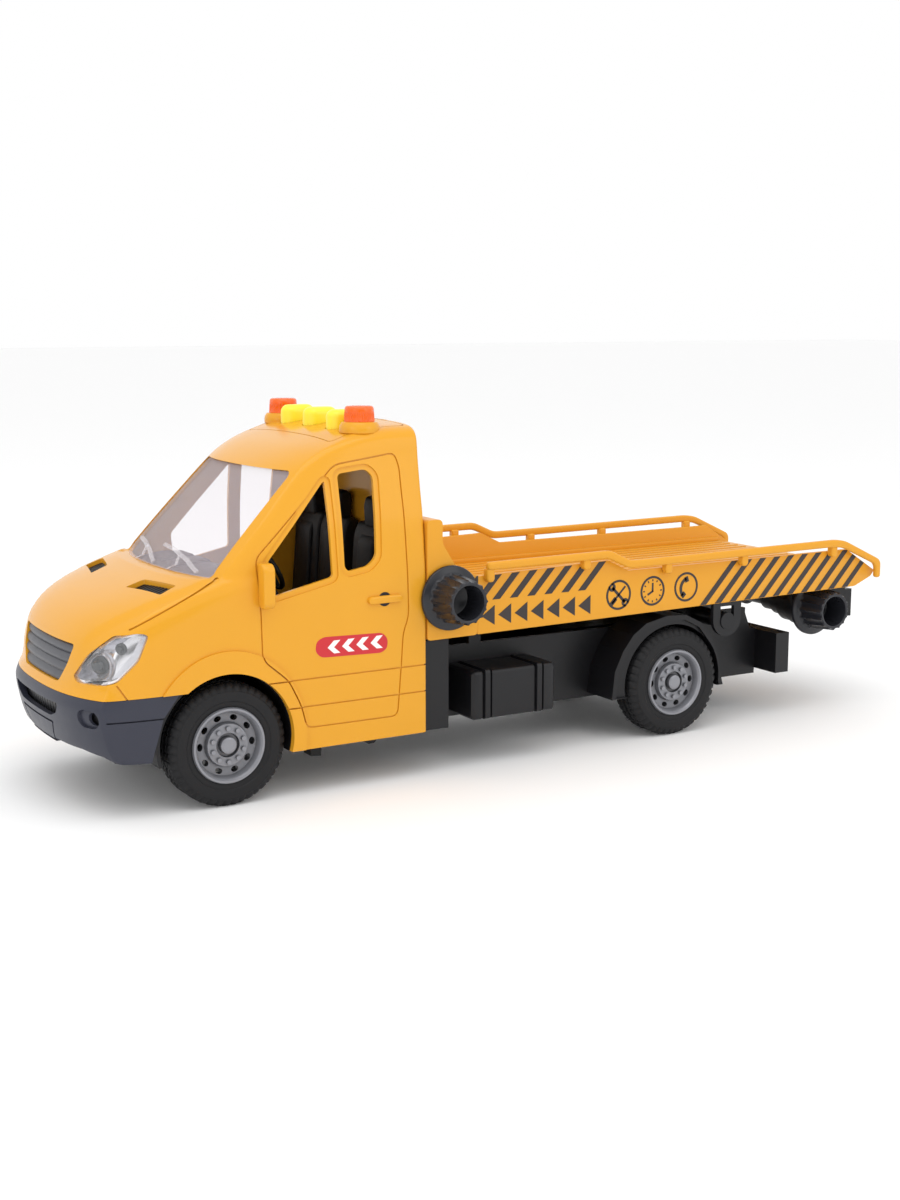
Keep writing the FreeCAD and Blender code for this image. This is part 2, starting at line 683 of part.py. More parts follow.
def make_steering_wheel():
    ring = doc.addObject("Part::Torus", "steering_ring")
    ring.Radius1 = STEERING_RADIUS
    ring.Radius2 = 1.0
    hub = rod("z", 2.4, (0, 0, -1.0), 2.0)
    column = rod("z", 1.6, (0, 0, -9.0), 8.5)
    spoke_end = STEERING_RADIUS - 0.2
    spokes = [block((-spoke_end, spoke_end), (-0.9, 0.9), (-0.6, 0.6)),
              block((-0.9, 0.9), (-spoke_end, 0.0), (-0.6, 0.6))]
    wheel = fuse(ring, hub, column, *spokes)
    wheel.Placement = FreeCAD.Placement(STEERING_CENTRE, FreeCAD.Rotation(Vector(0, 1, 0), STEERING_TILT))
    subpart("steering_wheel", wheel)


def make_mirrors():
    plates = []
    for low, high in both_sides("cab_half", "cab_half + 5.5"):
        plate = block((121.5, 126.4), (low, high), (78.0, 94.7))
        plates.append(fillet(plate, 1.2, lambda edge: not runs_along(edge, "y")))
    subpart("mirrors", group(*plates))


def make_arch_liners(cavity):
    """Black half-round housings over the front wheels, inside the cab's cavity."""
    liners = []
    below = cuboid((90.0, 190.0), (-60.0, 60.0), (dim("cab_bottom") - 40.0, dim("cab_bottom")))
    for low, high in ((33.9, 51.2), (-51.2, -33.9)):
        tube = wheel_arch(ARCH_RADIUS + 1.3, low, high).cut(wheel_arch(ARCH_RADIUS - 0.2, low - 1, high + 1))
        liners.append(tube.cut(below).common(cavity))
    subpart("wheel_housings", feature("wheel_housings", Part.makeCompound(liners)))


# ---------------------------------------------------------------- chassis

# Seen from the side: two hooks under the cab on each side, and the cut-off rear corner of the frame.
HOOKS = [
    [(94.3, 19.0), (94.3, 9.4), (89.6, 9.0), (89.6, 13.2), (83.5, 18.5), (83.5, 19.0)],
    [(70.0, 19.0), (70.0, 12.6), (67.5, 11.0), (64.8, 11.0), (63.2, 12.6), (63.2, 19.0)],
]
REAR_CORNER = [(-145.0, 40.2), (-140.7, 40.2), (-137.4, 48.2), (-137.4, 60.0), (-145.0, 60.0)]


def make_chassis():
    half = ("-frame_half", "frame_half")
    inside = ("-frame_half + wall", "frame_half - wall")
    rear = block(("frame_rear", 50.0), half, ("frame_bottom", "frame_top"))
    raised = block((-138.0, -92.0), half, ("frame_top", 50.8))
    nose = block((49.0, "frame_front"), half, ("frame_bottom", "nose_top"))
    panel = block(("back_panel_rear", "cab_rear"), ("-back_panel_half", "back_panel_half"),
                  ("cab_bottom", "back_panel_top"))
    beam = block(("frame_rear - beam_depth", "frame_rear"), ("-beam_half", "beam_half"),
                 ("beam_bottom", "beam_top"))
    ears = [rod("y", 7.5, ("pivot_x", y, "pivot_z"), "wall") for y in ("-frame_half", "frame_half - wall")]
    bosses = [rod("y", 4.0, (x, start, "tyre_radius"), 3.8)
              for x in ("front_axle_x", "rear_axle_x") for start in ("frame_half - 1", "-frame_half - 2.8")]
    hooks = [prism("xz", side_view, *span)
             for side_view in HOOKS for span in both_sides("frame_half - 6.8", "frame_half")]
    rests = [block((12.0, 18.0), span, ("frame_top - 2", "bed_rest - 0.3"))
             for span in both_sides("frame_half - 6", "frame_half")]

    rear_hollow = block(("frame_rear + wall", 48.0), inside, ("frame_bottom + wall", "frame_top + 10"))
    nose_hollow = block((47.0, "frame_front - wall"), inside, ("frame_bottom + wall", "nose_top + 30"))
    panel_hollow = block(("back_panel_rear + wall", "cab_rear + 1"),
                         ("-back_panel_half + wall", "back_panel_half - wall"),
                         ("cab_bottom + wall", "back_panel_top - wall"))
    motor_hole = block(("motor_rear - 0.4", "motor_front + 0.4"), ("motor_right - 0.4", "motor_left + 0.4"),
                       (10.0, "frame_bottom + wall + 1"))
    axles = [rod("y", "axle_radius + running_gap", (x, -60, "tyre_radius"), 120)
             for x in ("front_axle_x", "rear_axle_x")]
    pivot = rod("y", "pivot_radius", ("pivot_x", -60, "pivot_z"), 120)
    screws = [rod("z", 1.3, (x, y, 10.0), 14.0) for x, y in SCREW_PLACES]
    heads = [rod("z", 2.6, (x, y, 10.0), "frame_bottom - 10 + 0.8") for x, y in SCREW_PLACES]
    corner = prism("xz", REAR_CORNER, "-frame_half - 1", "frame_half + 1")
    solid = fuse(rear, raised, nose, panel, beam, *ears, *bosses, *hooks, *rests)
    subpart("chassis", cut(solid, rear_hollow, nose_hollow, panel_hollow, motor_hole, corner, pivot,
                           *axles, *screws, *heads))
    subpart("bed_pivot_pin", rod("y", "pivot_radius", ("pivot_x", -53.8, "pivot_z"), 107.6))

    fasteners = []
    for x, y in SCREW_PLACES:
        head = rod("z", 2.4, (x, y, "frame_bottom - 0.6"), 1.4)
        shank = rod("z", SCREW_RADIUS, (x, y, "frame_bottom + 0.5"), 15.0)
        fasteners.append(fuse(head, shank))
    subpart("chassis_screws", group(*fasteners))


def make_toolboxes():
    boxes = []
    for side in (1, -1):
        body = block(("toolbox_rear", "toolbox_front"), one_side(side, "frame_half", "toolbox_outer - 0.6"),
                     ("toolbox_bottom", "toolbox_top - 0.6"))
        body = fillet(body, 1.2, lambda edge: runs_along(edge, "y") or runs_along(edge, "x"))
        strap_span = one_side(side, "frame_half", "toolbox_outer")
        straps = [block((x - 1.6, x + 1.6), strap_span, ("toolbox_bottom", "toolbox_top"))
                  for x in (21.7, -4.5)]
        hollow = block(("toolbox_rear + wall", "toolbox_front - wall"),
                       one_side(side, "frame_half - 1", "toolbox_outer - 2.6"),
                       ("toolbox_bottom + wall", "toolbox_top - 2.6"))
        boxes.append(cut(fuse(body, *straps), hollow))
    subpart("toolboxes", group(*boxes))


MUDGUARD = [
    (-45.1, 20.0), (-46.5, 32.7), (-51.0, 41.7), (-56.5, 48.5), (-63.5, 53.0), (-75.0, 55.4), (-86.0, 54.9),
    (-95.0, 50.5), (-101.0, 43.5), (-105.5, 34.0), (-107.5, 24.0), (-108.6, 20.0),
]


def make_mudguards():
    centre_x = dim("rear_axle_x")
    centre_z = dim("tyre_radius")
    band = dim("mudguard_band")
    lip = []
    for x, z in MUDGUARD:
        reach = math.hypot(x - centre_x, z - centre_z)
        lip.append((centre_x + (x - centre_x) * (reach - band) / reach,
                    centre_z + (z - centre_z) * (reach - band) / reach))
    guards = []
    for side in (1, -1):
        near, far = one_side(side, "frame_half", "mudguard_outer")
        solid = prism("xz", MUDGUARD, near, far)
        near, far = one_side(side, "mudguard_outer - 1.5", "mudguard_outer + 1")
        recess = prism("xz", lip, near, far)
        start = one_side(side, "frame_half - 1", "mudguard_outer + 1")[0]
        wheel_space = rod("y", 26.4, ("rear_axle_x", start, "tyre_radius"), 25.0)
        guards.append(cut(solid, recess, wheel_space))
    subpart("mudguards", group(*guards))


# ---------------------------------------------------------------- wheels

# Profiles are (radius, distance outwards from the wheel's outer face).
TYRE_PROFILE = [
    (15.2, -1.0), (17.6, -0.1), (20.4, 0.0), (22.6, -0.5), (23.9, -1.6), (24.5, -3.2),
    (24.5, -12.8), (23.9, -14.4), (22.6, -15.5), (20.4, -16.0), (17.6, -15.9), (15.2, -15.0),
]
RIM_PROFILE = [
    (1.5, -15.4), (4.6, -15.4), (4.6, -8.0), (12.4, -6.4), (13.0, -14.6), (15.2, -14.6), (15.2, -0.8),
    (14.8, 0.0), (14.0, 0.0), (13.4, -0.9), (12.5, -3.6), (9.0, -3.9), (8.4, -2.0), (4.9, -1.8), (4.6, -3.2),
    (3.5, -3.2), (3.2, -0.9), (2.4, -0.6), (0.0, -0.6), (0.0, -4.0), (1.5, -4.0),
]
RIM_HOLE_CIRCLE = 10.9
RIM_HOLE = (1.55, 1.15)
NUT_CIRCLE = 6.7
NUT_RADIUS = 0.85


def make_wheel(place_name, axle, side_name, side):
    def profile(points):
        return [(radius, side * out) for radius, out in points]
    centre = (axle, f"{side} * wheel_outer", "tyre_radius")
    subpart(f"{place_name}_tyre_{side_name}", turned(profile(TYRE_PROFILE), *centre))

    rim = turned(profile(RIM_PROFILE), *centre)
    holes = new_sketch(rim, "xz")
    long_half, short_half = RIM_HOLE
    middle = Vector(RIM_HOLE_CIRCLE, 0, 0)
    far = middle + Vector(0, long_half, 0)
    near = middle + Vector(short_half, 0, 0)
    holes.addGeometry(Part.Ellipse(far, near, middle), False)
    pocket = rim.newObject("PartDesign::Pocket", "ventilation_hole")
    pocket.Profile = holes
    pocket.Type = "ThroughAll"
    pocket.Midplane = True
    nuts = new_sketch(rim, "xz", -side * 2.1)
    half_step = math.pi / dim("wheel_holes")
    nut_place = Vector(NUT_CIRCLE * math.cos(half_step), NUT_CIRCLE * math.sin(half_step), 0)
    nuts.addGeometry(Part.Circle(nut_place, Vector(0, 0, 1), NUT_RADIUS), False)
    nut = rim.newObject("PartDesign::Pad", "wheel_nut")
    nut.Profile = nuts
    nut.Length = 1.3
    nut.Reversed = side > 0
    polar_copies(rim, [pocket, nut], "wheel_holes")
    subpart(f"{place_name}_rim_{side_name}", rim)


def make_axle(name, axle):
    half = "(wheel_outer - 4)"
    subpart(name, rod("y", "axle_radius", (axle, f"-{half}", "tyre_radius"), f"2 * {half}"))


# ---------------------------------------------------------------- friction motor

PRESSURE_ANGLE = math.radians(25.0)
ADDENDUM = 0.9
DEDENDUM = 1.2
BACKLASH = 0.06
FLANK_STEPS = 3
FIRST_MESH = math.radians(35.0)
SECOND_MESH = math.radians(10.0)


def involute(angle):
    return math.tan(angle) - angle


def along(start, angle, distance):
    return start[0] + distance * math.cos(angle), start[1] + distance * math.sin(angle)


def gear_shape(teeth, centre, phase, y_low, y_high, bore=0.0):
    """A spur gear on an axis along Y, with the middle of one tooth at an angle from +X to +Z."""
    module = dim("gear_module")
    teeth = int(teeth)
    pitch = module * teeth / 2
    base = pitch * math.cos(PRESSURE_ANGLE)
    tip = pitch + ADDENDUM * module
    root = pitch - DEDENDUM * module
    half_tooth = (math.pi * module / 2 - BACKLASH) / (2 * pitch) + involute(PRESSURE_ANGLE)
    start = max(base, root)
    radii = [start + (tip - start) * step / FLANK_STEPS for step in range(FLANK_STEPS + 1)]
    flank = [(radius, half_tooth - involute(math.acos(base / radius))) for radius in radii]
    if root < base:
        flank.insert(0, (root, flank[0][1]))
    points = []
    for tooth in range(teeth):
        middle = phase + 2 * math.pi * tooth / teeth
        rising = [(radius, middle - spread) for radius, spread in flank]
        falling = [(radius, middle + spread) for radius, spread in reversed(flank)]
        for radius, angle in rising + falling:
            x, z = along(centre, angle, radius)
            points.append(Vector(x, y_low, z))
    gear = extruded(points, Vector(0, y_high - y_low, 0))
    if bore:
        gear = gear.cut(Part.makeCylinder(bore, 60.0, Vector(centre[0], -30.0, centre[1]), Vector(0, 1, 0)))
    return gear


def disc(radius, centre, y_low, y_high):
    return Part.makeCylinder(radius, y_high - y_low, Vector(centre[0], y_low, centre[1]), Vector(0, 1, 0))


def make_motor():
    wheel = dim("wheel_teeth")
    pinion = dim("pinion_teeth")
    spacing = dim("gear_module") * (wheel + pinion) / 2
    axle = (dim("rear_axle_x"), dim("tyre_radius"))
    middle = along(axle, FIRST_MESH, spacing)
    last = along(middle, SECOND_MESH, spacing)
    facing = math.pi + math.pi / pinion
    shaft = dim("motor_shaft_radius")
    ends = (dim("motor_right") + 0.3, dim("motor_left") - 0.3)

    drive = gear_shape(wheel, axle, FIRST_MESH, 3.6, 7.6, dim("axle_radius"))
    subpart("axle_gear", feature("axle_gear", drive))
    small = gear_shape(pinion, middle, FIRST_MESH + facing, 3.2, 8.2)
    large = gear_shape(wheel, middle, SECOND_MESH, -3.5, -0.5)
    hub = disc(1.6, middle, -1.0, 4.0)
    stack = small.fuse([large, disc(shaft, middle, *ends), hub])
    subpart("intermediate_gear", feature("intermediate_gear", stack))
    small = gear_shape(pinion, last, SECOND_MESH + facing, -5.5, 0.2)
    rotor = disc(dim("flywheel_radius"), last, -11.0, -5.0)
    subpart("flywheel", feature("flywheel", small.fuse([rotor, disc(shaft, last, *ends)])))

    x = ("motor_rear", "motor_front")
    z = ("motor_bottom", "motor_top")
    hollow_x = ("motor_rear + motor_wall", "motor_front - motor_wall")
    hollow_z = ("motor_bottom + motor_wall", "motor_top - motor_wall")
    halves = {
        "left": (("motor_split", "motor_left"), ("motor_split - 1", "motor_left - motor_wall")),
        "right": (("motor_right", "motor_split"), ("motor_right + motor_wall", "motor_split + 1")),
    }
    for name, (outside, hollow) in halves.items():
        bores = [rod("y", "axle_radius + running_gap", (axle[0], -40.0, axle[1]), 80.0)]
        for centre in (middle, last):
            bores.append(rod("y", "motor_shaft_radius + running_gap", (centre[0], -40.0, centre[1]), 80.0))
        case = cut(block(x, outside, z), block(hollow_x, hollow, hollow_z), *bores)
        subpart(f"motor_housing_{name}", case)


# ---------------------------------------------------------------- bed

TAIL_X = -187.0


def panel_bottom(x):
    """Lower edge of the bed's sides: it drops evenly from the tail to the headboard's front."""
    share = (x - TAIL_X) / (dim("headboard_front") - TAIL_X)
    return dim("bed_bottom") + share * (dim("bed_bottom_front") - dim("bed_bottom"))


PANEL = [
    (27.0, panel_bottom(27.0)), (27.0, 82.1), (-31.0, 83.6), (-40.0, 83.8), (-51.0, 78.4), (-181.0, 78.4),
    (-199.5, 67.0), (-197.5, 64.2), (TAIL_X, panel_bottom(TAIL_X)),
]
HEADBOARD = [
    (27.0, panel_bottom(27.0)), (51.0, panel_bottom(51.0)), (51.0, 106.0), (50.0, 107.0), (45.0, 107.0),
    (43.8, 105.8), (43.8, 97.0), (37.8, 87.6), (27.0, 82.1),
]
HEADBOARD_HOLLOW = [
    (29.0, 55.0), (49.0, 55.0), (49.0, 105.0), (45.8, 105.0), (45.8, 96.4), (39.2, 86.2), (29.0, 81.0),
]
RAIL = [
    (24.3, 88.2), (-38.3, 88.7), (-49.8, 83.4), (-170.0, 84.2), (-176.5, 83.2), (-200.0, 72.4),
    (-200.0, 63.8), (-196.8, 63.8), (-196.8, 70.4), (-175.4, 79.9), (-169.0, 80.6), (-48.8, 79.9),
    (-37.5, 85.2), (24.3, 84.8),
]
# Each post: place along the truck, top and bottom.
RAIL_POSTS = [
    (22.4, 84.9, 80.2), (-26.5, 85.2, 81.6), (-71.0, 80.1, 76.6), (-114.9, 80.3, 76.6), (-170.0, 80.5, 76.6),
]


def make_deck():
    plate = block((-190.0, "deck_front"), ("-bed_half + wall", "bed_half - wall"),
                  ("deck_bottom", "deck_top"))
    ramp = prism("xz", [(-190.0, 67.5), (-190.0, 70.0), (-199.5, 66.4), (-199.5, 64.6)], "-bed_half + wall",
                 "bed_half - wall")
    panels = [prism("xz", PANEL, *span) for span in both_sides("bed_half - wall", "bed_half")]
    subpart("bed_deck", fuse(plate, ramp, *panels))

    shell = prism("xz", HEADBOARD, "-bed_half", "bed_half")
    hollow = prism("xz", HEADBOARD_HOLLOW, "-bed_half + wall", "bed_half - wall")
    rope_slot = block((20.0, 32.0), (-16.0, 16.0), (71.0, 79.0))
    bore = rod("y", "shaft_radius + running_gap", ("winch_x", -60.0, "winch_z"), 120.0)
    subpart("headboard", cut(shell, hollow, rope_slot, bore))

    rail_spans = both_sides("rail_y - rail_depth / 2", "rail_y + rail_depth / 2")
    post_spans = both_sides("bed_half", "rail_y + rail_depth / 2")
    for name, rail_span, post_span in zip(("left", "right"), rail_spans, post_spans):
        bar = prism("xz", RAIL, *rail_span)
        posts = [block((x - 1.9, x + 1.9), post_span, (low, high + 0.8)) for x, high, low in RAIL_POSTS]
        posts = [fillet(post, 1.2, lambda edge: runs_along(edge, "y")) for post in posts]
        subpart(f"side_rail_{name}", fuse(bar, *posts))

    beams = [block((-138.0, 26.9), span, ("bed_beam_bottom", "deck_bottom"))
             for span in both_sides("beam_inner", "beam_outer")]
    members = [block((x - 1.5, x + 1.5), ("-beam_inner - 1", "beam_inner + 1"), ("bed_rest", "deck_bottom"))
               for x in (-132.0, -80.0, -30.0, 15.0)]
    subpart("bed_subframe", fuse(*beams, *members))

    hangers = []
    rear = dim("pivot_x") - 8.2
    front = dim("pivot_x") + 8.2
    low_z = dim("pivot_z") + 1.0
    seam = [(front, panel_bottom(front)), (rear, panel_bottom(rear))]
    strap_side = [(rear, low_z), (front, low_z)] + seam
    panel_side = seam + [(rear, 70.0), (front, 70.0)]
    for low, high in both_sides("hanger_inner", "bed_half - 0.2"):
        strap = prism("xz", strap_side, low, high)
        foot = rod("y", 8.2, ("pivot_x", low, "pivot_z + 1"), "bed_half - 0.2 - hanger_inner")
        slot = block(("pivot_x - pivot_radius - running_gap", "pivot_x + pivot_radius + running_gap"),
                     (f"{low} - 1", f"{high} + 1"), ("pivot_z", "bed_bottom - 2.6"))
        eye = rod("y", "pivot_radius + running_gap", ("pivot_x", f"{low} - 1", "pivot_z"),
                  "bed_half - hanger_inner + 2")
        panel_space = prism("xz", panel_side, f"{low} - 1", f"{high} + 1")
        hangers.append(cut(fuse(strap, foot), slot, eye, panel_space))
    subpart("bed_hangers", group(*hangers))


SPOOL_PLATE = [
    (-158.0, 67.5), (-160.0, 57.0), (-164.0, 46.0), (-169.0, 41.5), (-178.0, 41.5), (-183.5, 47.0),
    (-195.5, 42.0), (-195.5, 65.7), (-190.0, 67.5),
]
# Half of the rear winch spool: radius, and how far it reaches from the middle.
SPOOL_STEPS = [(4.0, 8.0), (5.7, 16.0), (6.9, 23.0), (8.9, 30.0), (9.7, 35.6)]


def make_spool_frame():
    plates = []
    for span in both_sides("spool_plate_outer - wall", "spool_plate_outer"):
        bore = rod("y", "shaft_radius + running_gap", ("spool_x", -60.0, "spool_z"), 120.0)
        plates.append(cut(prism("xz", SPOOL_PLATE, *span), bore))
    bar = block((-200.0, -195.5), ("-spool_plate_outer", "spool_plate_outer"), (42.0, 55.6))
    subpart("winch_frame", fuse(bar, *plates))


KNOB_FLUTES = 16
FLUTE_DEPTH = 0.7
# Along one flute: share of its pitch, and share of its depth.
FLUTE_STEPS = [(0.0, 0.0), (0.45, 0.0), (0.6, 1.0), (0.85, 1.0)]


def fluted_ring(radius, y):
    """The grip's outline at one end, with a shallow groove between every two ridges."""
    points = []
    for flute in range(KNOB_FLUTES):
        for share, depth in FLUTE_STEPS:
            angle = 2 * math.pi * (flute + share) / KNOB_FLUTES
            reach = radius - depth * FLUTE_DEPTH
            points.append(Vector(reach * math.cos(angle), y, reach * math.sin(angle)))
    return Part.makePolygon(points + points[:1])


def make_knobs(label, x, z, inner_face):
    """A fluted winch knob on each end of a shaft: a flange and a hollow, slightly tapered grip."""
    for name, side in (("left", 1), ("right", -1)):
        flange = rod("y", "knob_flange_radius", (x, inner_face, z), "knob_flange")
        rings = [fluted_ring(dim("knob_base_radius"), 0.0),
                 fluted_ring(dim("knob_tip_radius"), dim("knob_length") - dim("knob_flange") + 0.1)]
        grip = feature("grip", Part.makeLoft(rings, True, True))
        place(grip, x, f"{inner_face} + knob_flange - 0.1", z)
        hollow = rod("y", "knob_bore_radius", (x, f"{inner_face} + knob_length - knob_bore_depth", z), 20.0)
        socket = rod("y", "shaft_radius", (x, f"{inner_face} - 1", z), 3.0)
        knob = cut(fuse(flange, grip), hollow, socket)
        if side < 0:
            twin = doc.addObject("Part::Mirroring", "twin")
            twin.Source = knob
            twin.Normal = Vector(0, 1, 0)
            knob = twin
        subpart(f"{label}_knob_{name}", knob)


def make_winches():
    half = "(winch_knob_y + 2)"
    shaft = rod("y", "shaft_radius", ("winch_x", f"-{half}", "winch_z"), f"2 * {half}")
    drum = rod("y", 4.2, ("winch_x", -15.0, "winch_z"), 30.0)
    cheeks = [rod("y", 6.8, ("winch_x", y, "winch_z"), 1.5) for y in (-15.0, 13.5)]
    subpart("winch_drum", fuse(shaft, drum, *cheeks))
    make_knobs("winch", "winch_x", "winch_z", "winch_knob_y")

    half = "(spool_knob_y + 2)"
    shaft = rod("y", "shaft_radius", ("spool_x", f"-{half}", "spool_z"), f"2 * {half}")
    steps = []
    inner = 0.0
    for radius, outer in SPOOL_STEPS:
        for start in (inner, -outer):
            steps.append(rod("y", radius, ("spool_x", start, "spool_z"), outer - inner))
        inner = outer
    subpart("rear_spool", fuse(shaft, *steps))
    make_knobs("spool", "spool_x", "spool_z", "spool_knob_y")


# ---------------------------------------------------------------- assembly

outer_block, cab_cavity, cab_walls = make_cab()
make_glazing()
make_reflectors()
make_front_inserts()
make_bumper()
make_roof_panel(cab_walls)
make_beacons(outer_block)
make_buttons()
make_electronics()
make_interior()
make_steering_wheel()
make_mirrors()
make_arch_liners(cab_cavity)
make_chassis()
make_toolboxes()
make_mudguards()
for end_name, end_axle in (("front", "front_axle_x"), ("rear", "rear_axle_x")):
    make_axle(f"{end_name}_axle", end_axle)
    for hand_name, hand in (("left", 1), ("right", -1)):
        make_wheel(end_name, end_axle, hand_name, hand)
make_motor()
make_deck()
make_spool_frame()
make_winches()

doc.recompute()

troubled = [thing.Label for thing in doc.Objects if {"Invalid", "Error"} & set(thing.State)]
for piece in SUBPARTS:
    if piece.Shape.isNull() or not piece.Shape.isValid():
        troubled.append(piece.Label)
if troubled:
    raise RuntimeError("these objects failed: " + ", ".join(troubled))

os.makedirs("parts", exist_ok=True)
for piece in SUBPARTS:
    piece.Shape.exportStep(f"parts/{piece.Label}.step")
    print(f"{piece.Label}: {len(piece.Shape.Solids)} solid(s), {piece.Shape.Volume / 1000:.2f} cm3")
print(len(SUBPARTS), "sub-parts")
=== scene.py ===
import json
import math

import bmesh
import bpy
import numpy as np
from mathutils import Matrix, Vector


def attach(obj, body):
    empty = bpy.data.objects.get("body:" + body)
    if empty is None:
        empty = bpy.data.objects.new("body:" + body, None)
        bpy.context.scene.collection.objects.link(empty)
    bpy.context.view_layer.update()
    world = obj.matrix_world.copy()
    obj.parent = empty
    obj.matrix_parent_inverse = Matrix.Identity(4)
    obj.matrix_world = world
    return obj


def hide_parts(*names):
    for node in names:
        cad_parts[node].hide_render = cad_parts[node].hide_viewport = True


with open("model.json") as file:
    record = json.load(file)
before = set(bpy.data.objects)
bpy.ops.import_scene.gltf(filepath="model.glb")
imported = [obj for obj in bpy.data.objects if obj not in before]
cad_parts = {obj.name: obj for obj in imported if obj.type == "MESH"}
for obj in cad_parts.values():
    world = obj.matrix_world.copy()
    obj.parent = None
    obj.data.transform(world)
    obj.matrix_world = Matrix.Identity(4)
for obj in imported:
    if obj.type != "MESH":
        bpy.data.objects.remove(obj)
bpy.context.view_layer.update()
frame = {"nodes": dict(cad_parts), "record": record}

# Lengths are in millimetres on the truck's own axes: x to the front, y to the left, z up.
MM = 0.001
SIDES = ((1, "left"), (-1, "right"))


# ---------- mesh helpers

def placed(name, data):
    """A new object in the scene."""
    thing = bpy.data.objects.new(name, data)
    bpy.context.scene.collection.objects.link(thing)
    return thing


def new_mesh(name, points, faces):
    """A mesh object from points in millimetres."""
    mesh = bpy.data.meshes.new(name)
    mesh.from_pydata([tuple(c * MM for c in p) for p in points], [], faces)
    mesh.validate()
    mesh.update()
    return placed(name, mesh)


def facing_out(thing):
    """Turns the faces of a closed mesh outwards."""
    whole = bmesh.new()
    whole.from_mesh(thing.data)
    bmesh.ops.recalc_face_normals(whole, faces=whole.faces)
    whole.to_mesh(thing.data)
    whole.free()
    return thing


def signed_area(points):
    """Twice an outline's area, positive where the outline runs anticlockwise."""
    return sum(p[0] * q[1] - q[0] * p[1] for p, q in zip(points, points[1:] + points[:1]))


def wall(start, rows, count):
    """The faces between rows of points, where each row runs round a ring."""
    faces = []
    for r in range(rows - 1):
        for c in range(count):
            a = start + r * count + c
            b = start + r * count + (c + 1) % count
            faces.append((a, b, b + count, a + count))
    return faces


def solid_block(name, rows):
    """A closed solid from rows of points."""
    count = len(rows[0])
    verts = np.vstack(rows)
    ends = [tuple(range(count))[::-1], tuple(len(verts) - count + c for c in range(count))]
    return new_mesh(name, verts.tolist(), ends + wall(0, len(rows), count))


def prism(points, axis, low, high):
    """A closed prism: an outline across one axis, carried from low to high along it."""
    def place(a, b, along):
        return {"x": (along, a, b), "y": (a, along, b), "z": (a, b, along)}[axis]
    if (signed_area(points) > 0) != (axis != "y"):
        points = points[::-1]
    return solid_block("cutter", [[place(a, b, along) for a, b in points] for along in (low, high)])


def block(x, y, z):
    """A box from its two ends along each axis."""
    return prism([(x[0], y[0]), (x[1], y[0]), (x[1], y[1]), (x[0], y[1])], "z", z[0], z[1])


def circle(centre, radius, steps=48, squash=1):
    """An outline round a centre; squash stretches its second direction."""
    points = []
    for i in range(steps):
        angle = 2 * math.pi * i / steps
        points.append((centre[0] + radius * math.cos(angle), centre[1] + radius * squash * math.sin(angle)))
    return points


def capsule(centre, half_width, straight, steps=10):
    """An outline with round ends; straight is half the distance between their centres."""
    x, y = centre
    points = []
    for end, start in ((1, -90), (-1, 90)):
        for step in range(steps + 1):
            angle = math.radians(start + 180 * step / steps)
            points.append((x + end * straight + half_width * math.cos(angle),
                           y + half_width * math.sin(angle)))
    return points


def strip(points, width):
    """The outline of a flat strip along a line."""
    left, right = [], []
    for i, point in enumerate(points):
        before = Vector(points[max(i - 1, 0)])
        after = Vector(points[min(i + 1, len(points) - 1)])
        across = Vector((-(after - before).y, (after - before).x)).normalized() * width / 2
        here = Vector(point)
        left.append(tuple(here + across))
        right.append(tuple(here - across))
    return left + right[::-1]


def grown(points, by):
    """An outline moved outwards by a distance."""
    by = by if signed_area(points) > 0 else -by
    result = []
    count = len(points)
    for i, point in enumerate(points):
        here = Vector(point)
        first = (here - Vector(points[i - 1])).normalized()
        last = (Vector(points[(i + 1) % count]) - here).normalized()
        out = Vector((first.y + last.y, -first.x - last.x)).normalized()
        reach = by / max(out.dot(Vector((first.y, -first.x))), 0.5)
        result.append((here.x + out.x * reach, here.y + out.y * reach))
    return result


def rounded(points, radius, steps=5):
    """An outline with its corners rounded off."""
    result = []
    count = len(points)
    for i, corner in enumerate(points):
        here = Vector(corner)
        before = Vector(points[i - 1]) - here
        after = Vector(points[(i + 1) % count]) - here
        reach = min(radius, before.length * 0.45, after.length * 0.45)
        first = here + before.normalized() * reach
        last = here + after.normalized() * reach
        for step in range(steps + 1):
            t = step / steps
            point = first * (1 - t) ** 2 + here * 2 * t * (1 - t) + last * t ** 2
            result.append((point.x, point.y))
    return result


def evaluated(thing):
    """Replaces an object's mesh by what its modifiers make of it."""
    graph = bpy.context.evaluated_depsgraph_get()
    graph.update()
    mesh = bpy.data.meshes.new_from_object(thing.evaluated_get(graph))
    old = thing.data
    thing.modifiers.clear()
    thing.data = mesh
    bpy.data.meshes.remove(old)
    return thing


def drop(*things):
    """Takes helper objects out of the scene."""
    for thing in things:
        bpy.data.objects.remove(thing)


def carve(thing, cutters, operation="DIFFERENCE"):
    """Cuts solids away from a solid, or adds them to it."""
    for cutter in cutters:
        change = thing.modifiers.new("carve", "BOOLEAN")
        change.operation = operation
        change.solver = "MANIFOLD"
        change.object = cutter
    evaluated(thing)
    drop(*cutters)
    return thing


def within(thing, solid):
    """Keeps what a solid shares with another."""
    return carve(thing, [solid], "INTERSECT")


def joined(name, things):
    """Several mesh objects as one."""
    target = bmesh.new()
    for thing in things:
        thing.data.transform(thing.matrix_world)
        target.from_mesh(thing.data)
    mesh = bpy.data.meshes.new(name)
    target.to_mesh(mesh)
    target.free()
    whole = placed(name, mesh)
    drop(*things)
    return whole


def copy_of(thing, name):
    return placed(name, thing.data.copy())


def mirrored(thing, name):
    """The same piece on the truck's other side."""
    twin = copy_of(thing, name)
    twin.data.transform(Matrix.Scale(-1, 4, (0, 1, 0)))
    twin.data.flip_normals()
    return twin


def both_sides(left):
    """A piece of the left side and its mirror image on the right."""
    return [left, mirrored(left, left.name + "_right")]


